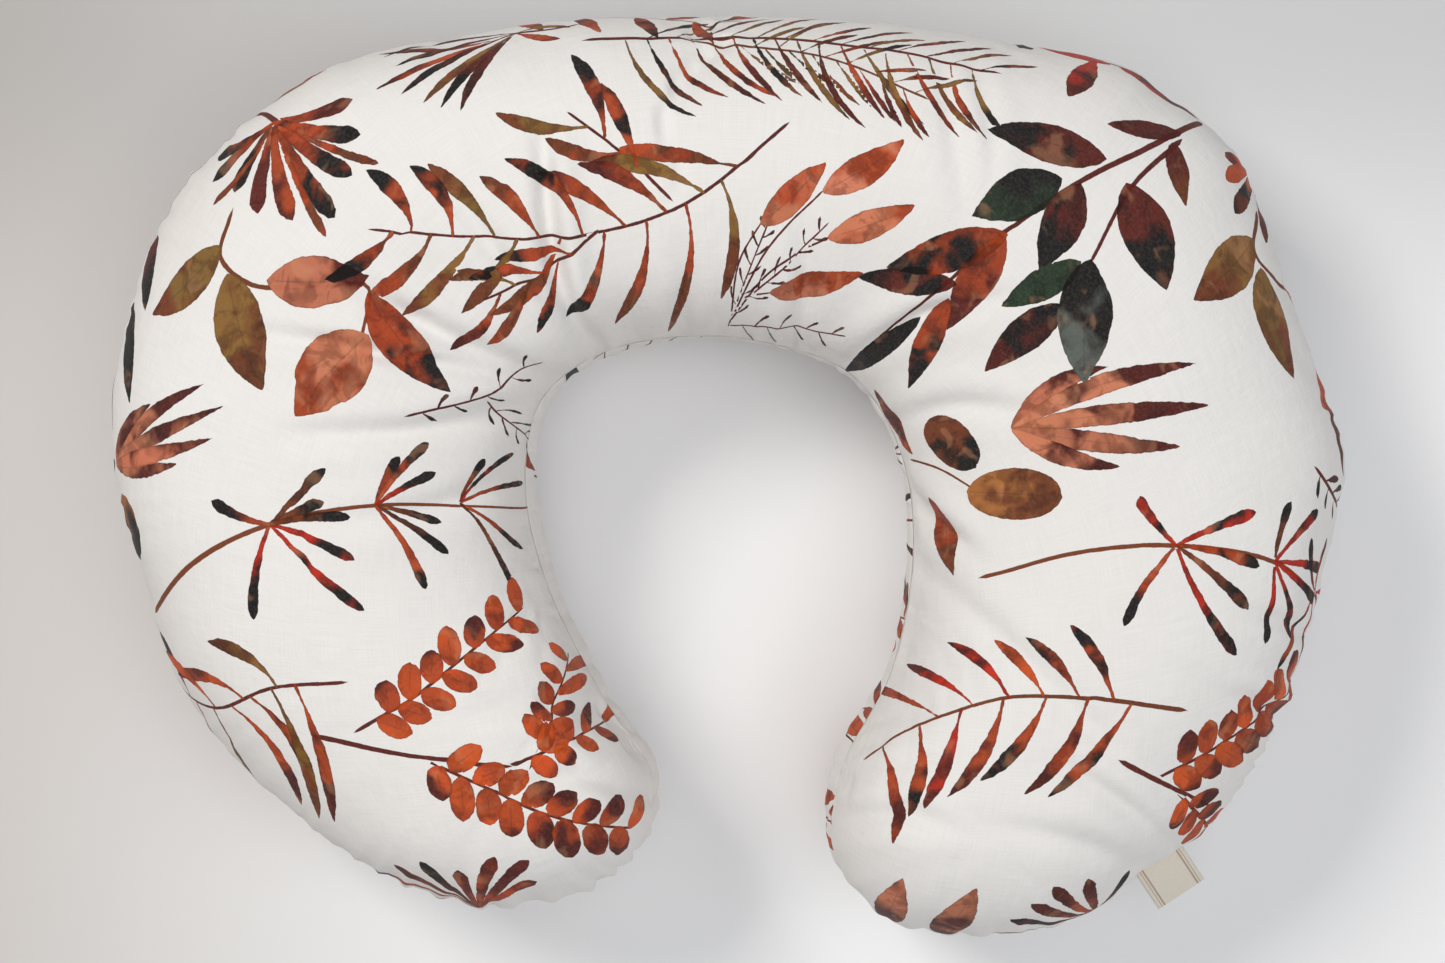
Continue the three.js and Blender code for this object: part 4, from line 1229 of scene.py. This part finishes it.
def cover_panel(side, skin, moved):
    """One half of the cover: its skin, with the rim carried round into the seam allowance."""
    points, open_zip = cover_half(skin, side, moved)
    shape = skin.depth.shape
    step = 2**REFINE
    flat = halve(flatten(points[::step, ::step]), REFINE)
    rim, first, last = turned_in_rim(skin, points, open_zip, side)
    ids = np.arange(shape[0] * shape[1]).reshape(shape)
    ring = ids[rim]
    next_ring = shape[0] * shape[1] + np.arange(len(ring))
    last_ring = next_ring + len(ring)
    faces = np.vstack([
        grid_faces(ids, side > 0), rim_faces(ring, next_ring, side), rim_faces(next_ring, last_ring, side),
    ])
    everything = np.vstack([points.reshape(-1, 3), first, last])
    name = "cover_upper" if side > 0 else "cover_lower"
    ob = mesh_object(name, everything, faces)
    outward = flat[rim] - flat[(rim[0].clip(1, shape[0] - 2), rim[1].clip(1, shape[1] - 2))]
    beyond = flat[rim] + unit(outward) * 1.0
    cloth = np.vstack([flat.reshape(-1, 2), beyond, beyond + unit(outward) * SEAM_ALLOWANCE])
    cloth_attribute(ob, cloth)
    print_on(ob, cloth[faces], Cloth(drawing_plan(skin), flat), side)
    return ob, points


def print_on(ob, corners, cloth, side):
    """Stores the print's strokes at the corners of a cover panel's faces."""
    sheet = Print(corners)
    draw_print(Brush(cloth, sheet, 11 + side, shift=(0, 0) if side > 0 else (9, -6), mirror=side))
    loops = np.empty(len(ob.data.loops), np.int32)
    ob.data.loops.foreach_get("vertex_index", loops)
    for layer in range(LAYERS):
        new = ob.data.attributes.new
        new(f"stroke{layer}", "FLOAT_VECTOR", "CORNER").data.foreach_set("vector", sheet.shape[layer].ravel())
        for name, values in (("base", sheet.base), ("tip", sheet.tip)):
            colors = np.repeat(values[layer], 4, 0)
            new(f"{name}{layer}", "FLOAT_COLOR", "CORNER").data.foreach_set("color", colors.ravel())


def inner_skin(points, skin, side, depth):
    """Points of one half of a layer at a depth under the cover, with a level rim."""
    normals = grid_normals(points, side)
    level = np.zeros_like(points)
    level[..., :2] = skin.turn
    share = np.exp(-((skin.depth / RIM_REACH) ** 2))[..., None]
    depth = np.broadcast_to(depth, skin.depth.shape)[..., None]
    return points - depth * unit(normals * (1 - share) + level * share)


def softened(points, rounds):
    """A grid with its small folds smoothed away."""
    for _ in range(rounds):
        smooth = points.copy()
        smooth[1:-1, 1:-1] = (
            points[1:-1, 1:-1] * 4
            + points[:-2, 1:-1] + points[2:, 1:-1] + points[1:-1, :-2] + points[1:-1, 2:]
        ) / 8
        points = smooth
    return points


def liner_panel(side, skin, points):
    """One half of the inner pillow's case, with its rim turned in."""
    shape = skin.depth.shape
    inner = inner_skin(points, skin, side, 7.2 + 0.35 * cloud_noise(points, 31 + side, 26))
    rim = boundary(shape)
    edge = inner[rim].copy()
    edge[:, :2] -= skin.turn[rim] * 4
    edge[:, 2] += side * 0.5
    ids = np.arange(shape[0] * shape[1]).reshape(shape)
    ring = ids[rim]
    faces = np.vstack([grid_faces(ids, side > 0), rim_faces(ring, ids.size + np.arange(len(ring)), side)])
    name = "liner_upper" if side > 0 else "liner_lower"
    return mesh_object(name, np.vstack([inner.reshape(-1, 3), edge]), faces)


def filling(skin, upper_points, lower_points):
    """The fibre filling: a closed, slightly tufted skin."""
    upper, lower = closed_ids(skin.depth.shape)
    points = np.zeros((lower.max() + 1, 3))
    for side, ids, grid in ((-1, lower, lower_points), (1, upper, upper_points)):
        tufts = 0.5 * np.abs(cloud_noise(grid, 41, 15)) + 0.5 * np.abs(cloud_noise(grid, 42, 6))
        points[ids.ravel()] = inner_skin(grid, skin, side, 8.6 + 1.8 * tufts).reshape(-1, 3)
    rim = boundary(skin.depth.shape)
    points[upper[rim], 2] = (upper_points[rim][:, 2] + lower_points[rim][:, 2]) / 2
    return mesh_object("fibre_fill", points, np.vstack([grid_faces(upper, True), grid_faces(lower, False)]))


def tube(path, radius, sides=6):
    """Points and quads of an open tube along a path of points in millimetres."""
    way = unit(np.gradient(path, axis=0))
    up = np.array([0.0, 0.0, 1.0])
    side = unit(np.cross(way, up) + 1e-6)
    over = np.cross(side, way)
    radius = np.broadcast_to(radius, len(path))
    turn = np.linspace(0, 2 * math.pi, sides, endpoint=False)
    ring = side[:, None] * np.cos(turn)[None, :, None] + over[:, None] * np.sin(turn)[None, :, None]
    points = path[:, None] + ring * radius[:, None, None]
    ids = np.arange(len(path) * sides).reshape(len(path), sides)
    a, b = ids[:-1], ids[1:]
    c, d = np.roll(ids, -1, 1)[1:], np.roll(ids, -1, 1)[:-1]
    return points.reshape(-1, 3), np.stack([a, b, c, d], -1).reshape(-1, 4)


def joined(name, parts):
    """One mesh object from several lots of points and quads."""
    points, faces, start = [], [], 0
    for part_points, part_faces in parts:
        points.append(part_points)
        faces.append(part_faces + start)
        start += len(part_points)
    return mesh_object(name, np.vstack(points), np.vstack(faces))


def stitches(name, line, height, pitch=3.0, radius=0.32):
    """A lockstitch seam: short bowed stitches along a closed line in plan."""
    steps = np.linalg.norm(np.diff(line, axis=0), axis=1)
    run = np.concatenate([[0], np.cumsum(steps)])
    height = np.broadcast_to(height, len(line))
    parts = []
    share = np.linspace(0, 1, 6)
    bow = np.sin(math.pi * share)
    for k in range(int(run[-1] / pitch)):
        at = (k + 0.08 + 0.84 * share) * pitch
        plan = [np.interp(at, run, line[:, 0]), np.interp(at, run, line[:, 1])]
        path = np.stack([*plan, np.interp(at, run, height) + 0.25 * bow - 0.12], -1)
        parts.append(tube(path, radius * (0.45 + 0.55 * bow), 5))
    return joined(name, parts)


def inset(line, distance):
    """A closed line in plan, moved in by a distance."""
    way = unit(np.roll(line, -1, 0) - np.roll(line, 1, 0))
    outward = np.stack([-way[:, 1], way[:, 0]], -1)
    area = np.sum(line[:, 0] * np.roll(line[:, 1], -1) - np.roll(line[:, 0], -1) * line[:, 1])
    return line + outward * distance * (1 if area > 0 else -1)


def on_zip(angle, out, up):
    """Points by angle along the zip, distance out from its line, and height over it."""
    a = np.radians(np.asarray(angle, float))
    radius = ZIP_REFERENCE + np.asarray(out, float)
    return np.stack([
        zip_centre[0] + radius * np.sin(a), zip_centre[1] + radius * np.cos(a), ZIP_HEIGHT + up + 0 * a,
    ], -1)


COIL_HALF_ANGLE, COIL_PITCH, COIL_WIRE = 12.2, 1.3, 0.27
TAPE_UPS = [0.7, 0.95, 1.6, 3.0, 4.5, 6.0, 8.0, 10.0, 12.0, 13.6, 13.8]  # across the tape
TAPE_THICK = [0.16, 0.26, 0.26, 0.22, 0.22, 0.22, 0.22, 0.22, 0.22, 0.2, 0.12]  # half thickness there
TAPE_BACK = -3.2  # from the zip's line to the tape


def zip_coil(side, name):
    """A nylon spiral: one turn a tooth, each with its head towards the other coil."""
    turns = int(math.radians(2 * COIL_HALF_ANGLE) * ZIP_REFERENCE / COIL_PITCH)
    per_turn = 12
    count = turns * per_turn + 1
    turn = np.linspace(0, 2 * math.pi * turns, count)
    angle = np.linspace(-COIL_HALF_ANGLE, COIL_HALF_ANGLE, count)
    head = side * (1.31 - 0.68 * np.cos(turn))
    path = on_zip(angle, -1.2 + 0.70 * np.sin(turn), head)
    return joined(name, [tube(path, COIL_WIRE)])


def zip_tape(side, name):
    """A woven tape behind its coil, thicker along the edge that the coil is sewn to."""
    angles = np.linspace(-ZIP_HALF_ANGLE, ZIP_HALF_ANGLE, 121)
    ups, thick = np.array(TAPE_UPS), np.array(TAPE_THICK)
    profile_up = np.concatenate([ups, ups[::-1]])
    profile_out = TAPE_BACK + np.concatenate([thick, -thick[::-1]])
    points, flat = [], []
    for k, angle in enumerate(angles):
        ripple = 0.06 * math.sin(k * 1.1) * np.clip((profile_up - 5) / 8, 0, 1)
        points.append(on_zip(np.full(len(profile_up), angle), profile_out + ripple, side * profile_up))
        flat.append(np.stack([profile_up, np.full(len(profile_up), math.radians(angle) * ZIP_REFERENCE)], -1))
    points, flat = np.array(points), np.array(flat)
    ids = np.arange(points.shape[0] * points.shape[1]).reshape(points.shape[:2])
    around = np.concatenate([ids, ids[:, :1]], 1)
    faces = grid_faces(around, side < 0)
    ends = []
    half = len(ups)
    for row, forward in ((0, side > 0), (-1, side < 0)):
        front, back = ids[row, :half], ids[row, half:][::-1]
        a, b, c, d = front[:-1], front[1:], back[1:], back[:-1]
        ends.append(np.stack([a, b, c, d] if forward else [a, d, c, b], -1))
    ob = mesh_object(name, points.reshape(-1, 3), np.vstack([faces, *ends]))
    cloth_attribute(ob, flat.reshape(-1, 2))
    return ob


def ribbon_mesh(name, shells, flats):
    """A thin ribbon from the grids of its two faces, and the flat cloth under each."""
    shape = shells[0].shape[:2]
    ids = np.arange(shape[0] * shape[1]).reshape(shape)
    ring = ids[boundary(shape)]
    faces = [grid_faces(ids, False), grid_faces(ids + ids.size, True), rim_faces(ring, ring + ids.size, -1)]
    ob = mesh_object(name, np.vstack([grid.reshape(-1, 3) for grid in shells]), np.vstack(faces))
    cloth_attribute(ob, np.vstack([flat.reshape(-1, 2) for flat in flats]))
    return ob


LABEL = {"width": 25.0, "length": 22.0, "turn": -56.0, "tucked": 3.0, "thickness": 0.28}


def label():
    """A ribbon folded in half and caught in the outer seam."""
    low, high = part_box("brand_label")
    middle = np.array([low.x + high.x, low.y + high.y]) / 2 / MM
    turn = math.radians(LABEL["turn"])
    out, side = np.array([math.cos(turn), math.sin(turn)]), np.array([-math.sin(turn), math.cos(turn)])
    width, length, thickness = LABEL["width"], LABEL["length"], LABEL["thickness"]
    start = middle - out * length / 2
    s = np.linspace(-LABEL["tucked"], length - 0.5, 22)
    bulge = 0.30 + 0.5 * np.sin(math.pi * np.clip(s / length, 0, 1)) ** 1.3
    fold = np.linspace(math.pi / 2, -math.pi / 2, 9)[1:-1]
    fold_radius = bulge[-1] + 0.02
    along_path = np.concatenate([s, s[-1] + fold_radius * np.cos(fold), s[::-1]])
    up_path = np.concatenate([bulge, fold_radius * np.sin(fold), -bulge[::-1]])
    way = unit(np.stack([np.gradient(along_path), np.gradient(up_path)], -1))
    normal = np.stack([-way[:, 1], way[:, 0]], -1)
    across = np.linspace(-0.5, 0.5, 21) * width
    run = np.concatenate([[0], np.cumsum(np.hypot(np.diff(along_path), np.diff(up_path)))])
    shells, flats = [], []
    for offset in (thickness / 2, -thickness / 2):
        along_line, up_line = along_path + normal[:, 0] * offset, up_path + normal[:, 1] * offset
        grid = np.zeros((len(run), len(across), 3))
        share = np.clip(along_line / length, 0, 1.1)[:, None]
        sway = 0.55 * share**2 * np.sin(across / width * 2.6 + 0.6)
        droop = -2.4 * share**1.6
        grid[..., :2] = start + along_line[:, None, None] * out + across[None, :, None] * side
        grid[..., 2] = ZIP_HEIGHT + up_line[:, None] + droop + sway
        shells.append(grid)
        flats.append(np.stack(np.broadcast_arrays(across[None], run[:, None]), -1))
    return ribbon_mesh("label_ribbon_fold", shells, flats)


def care_label(skin, points):
    """A small blank ribbon that lies on the inner case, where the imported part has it."""
    low, high = (np.array(v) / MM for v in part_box("care_label"))
    layer = inner_skin(points, skin, -1, 4.5)
    inside = ((layer > low - 1) & (layer < high + 1)).all(-1)
    rows, columns = np.nonzero(inside.any(1))[0], np.nonzero(inside.any(0))[0]
    patch = layer[rows[0]:rows[-1] + 1, columns[0]:columns[-1] + 1]
    patch = halve(patch)
    normals = grid_normals(patch, -1)
    shells = [patch + normals * 0.15, patch - normals * 0.15]
    down = np.linalg.norm(np.diff(patch, axis=0), axis=-1).mean(1)
    over = np.linalg.norm(np.diff(patch, axis=1), axis=-1).mean(0)
    flat_down, flat_over = np.concatenate([[0], np.cumsum(down)]), np.concatenate([[0], np.cumsum(over)])
    # The cloth's width is stored shrunk, so that the ribbon's woven edge lines miss this blank label.
    flat = np.stack(np.broadcast_arrays(flat_over[None] * 0.01, flat_down[:, None]), -1)
    return ribbon_mesh("care_ribbon", shells, [flat, flat]), (flat_over[-1], flat_down[-1])


def bevelled(node, width):
    """A packed metal piece with its edges rounded."""
    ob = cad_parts[node]
    bevel = ob.modifiers.new("bevel", "BEVEL")
    bevel.width = width * MM
    bevel.segments = 2
    bevel.limit_method = "ANGLE"
    bevel.angle_limit = math.radians(35)
    return ob


# ---- Stage ---------------------------------------------------------------------------------------

def floor_material():
    """Pale paper with painted shade: darker and warmer towards the left, where the light falls off, and darker
    towards the back.
    """
    n = Nodes("paper")
    x, y, _ = n.split(n.place())
    tone = n.noise(n.place(), 0.002, 2.0)
    # Painted shade: the paper darkens towards the left, standing in for the light falling off there
    color = n.mix(n.ramp(x, -480, -40), (0.55, 0.515, 0.48), (0.89, 0.893, 0.90))
    color = n.mix(n.times(tone, 0.15), color, (0.85, 0.84, 0.83))
    # Darker towards the back
    color = n.mix(n.ramp(y, 20, 230), color, n.mix(1.0, color, (0.70, 0.70, 0.70), "MULTIPLY"))
    return n.finish(color, 0.9)


def floor():
    size = 4000
    points = np.array([[-size, -size, 0], [size, -size, 0], [size, size, 0], [-size, size, 0]], float)
    ob = mesh_object("floor", points, np.array([[0, 1, 2, 3]]), smooth=False)
    ob.data.materials.append(floor_material())


def area_light(name, place, target, size, power, color):
    light = bpy.data.lights.new(name, "AREA")
    light.shape = "RECTANGLE"
    light.size, light.size_y = size
    light.energy = power
    light.color = color
    ob = bpy.data.objects.new(name, light)
    ob.location = place
    ob.rotation_euler = (Vector(target) - Vector(place)).to_track_quat("-Z", "Y").to_euler()
    bpy.context.scene.collection.objects.link(ob)


def lights():
    area_light("window", (-1.25, 0.95, 1.95), (0, 0, 0.05), (0.8, 0.7), 28, (1.0, 0.965, 0.92))
    area_light("bounce", (1.6, -0.6, 2.2), (0, 0, 0), (1.6, 1.6), 13, (0.92, 0.96, 1.0))
    area_light("ceiling", (0.3, -0.3, 2.6), (0, 0, 0), (1.8, 1.8), 20, (1.0, 0.995, 0.99))
    world = bpy.data.worlds.new("room")
    world.use_nodes = True
    background = world.node_tree.nodes["Background"]
    background.inputs["Color"].default_value = (0.96, 0.97, 1.0, 1)
    background.inputs["Strength"].default_value = 0.29
    bpy.context.scene.world = world


def camera():
    data = bpy.data.cameras.new("camera")
    data.sensor_width = 36
    data.lens = 68.85
    ob = bpy.data.objects.new("camera", data)
    ob.location = (-0.0016, -0.0027, 1.323)
    bpy.context.scene.collection.objects.link(ob)
    bpy.context.scene.camera = ob


# ---- The whole -----------------------------------------------------------------------------------

def build_cover():
    """Both cover panels. Returns their softened halves, which the layers inside follow."""
    coarse, fine = Skin(0), Skin(REFINE)
    moved = [np.zeros(fine.depth.shape + (3,))] * 2
    moved = [halve(half, REFINE) for half in simulate_cover(coarse)]
    cotton = printed_cotton()
    halves = []
    for side, node, half in ((1, "cover_top_panel", moved[0]), (-1, "cover_bottom_panel", moved[1])):
        ob, points = cover_panel(side, fine, held_in(half, fine))
        give(ob, cotton, replaced=node)
        halves.append(softened(points, 24)[::2, ::2])
    return halves


def build_inside(halves):
    skin = Skin(1)
    cotton = plain_cotton()
    for side, points, node in ((1, halves[0], "liner_top_panel"), (-1, halves[1], "liner_bottom_panel")):
        ob = give(liner_panel(side, skin, points), cotton, replaced=node)
    fill = give(filling(skin, *halves), fibre(), replaced="fibre_filling")
    ob, size = care_label(skin, halves[1])
    give(ob, ribbon(), replaced="care_label")


COVER_SEAM_IN, LINER_SEAM_IN = 4.0, 7.4  # how far each row of stitches lies in from the outline


def build_seams():
    """Both seams' stitches. The cover's stop at the zip."""
    cotton = thread()
    ring = np.vstack([outline, outline[:1]])
    line, _ = along(ring, 2400)
    line = line[:-1]
    angle = np.degrees(np.arctan2(line[:, 0] - zip_centre[0], line[:, 1] - zip_centre[1]))
    zipped = (line[:, 1] - zip_centre[1] > ZIP_RADIUS * 0.9) & (np.abs(angle) < ZIP_HALF_ANGLE + 0.6)
    start = int(np.nonzero(zipped & ~np.roll(zipped, -1))[0][0]) + 1
    open_line = np.roll(line, -start, 0)[: int((~zipped).sum())]
    wave = np.roll(seam_wave(np.arange(len(line)) / len(line) * ring_length), -start)[: len(open_line)]
    cover_line = inset(np.roll(line, -start, 0), COVER_SEAM_IN)[: len(open_line)]
    ob = stitches("cover_seam", cover_line, ZIP_HEIGHT + wave)
    give(ob, cotton, replaced="cover_seam_thread")
    ob = stitches("liner_seam", inset(line, LINER_SEAM_IN), ZIP_HEIGHT)
    give(ob, cotton, replaced="liner_seam_thread")


def build_label():
    ob = give(label(), ribbon(), replaced="brand_label")


def build_zip():
    weave, plastic, zinc = herringbone(), nylon(), painted_zinc()
    for side, place in ((1, "upper"), (-1, "lower")):
        tape = zip_tape(side, f"tape_{place}")
        give(tape, weave, replaced=f"zip_tape_{place}")
        give(zip_coil(side, f"coil_{place}"), plastic, replaced=f"zip_coil_{place}")
    for node, width in (("zip_top_stop_upper", 0.2), ("zip_top_stop_lower", 0.2), ("zip_bottom_stop", 0.25),
                        ("zip_slider", 0.25), ("zip_pull", 0.2)):
        paint(bevelled(node, width), zinc)


def build():
    halves = build_cover()
    build_inside(halves)
    build_seams()
    build_label()
    build_zip()
    floor()
    lights()
    camera()
    bpy.context.scene.view_settings.view_transform = "Standard"


build()
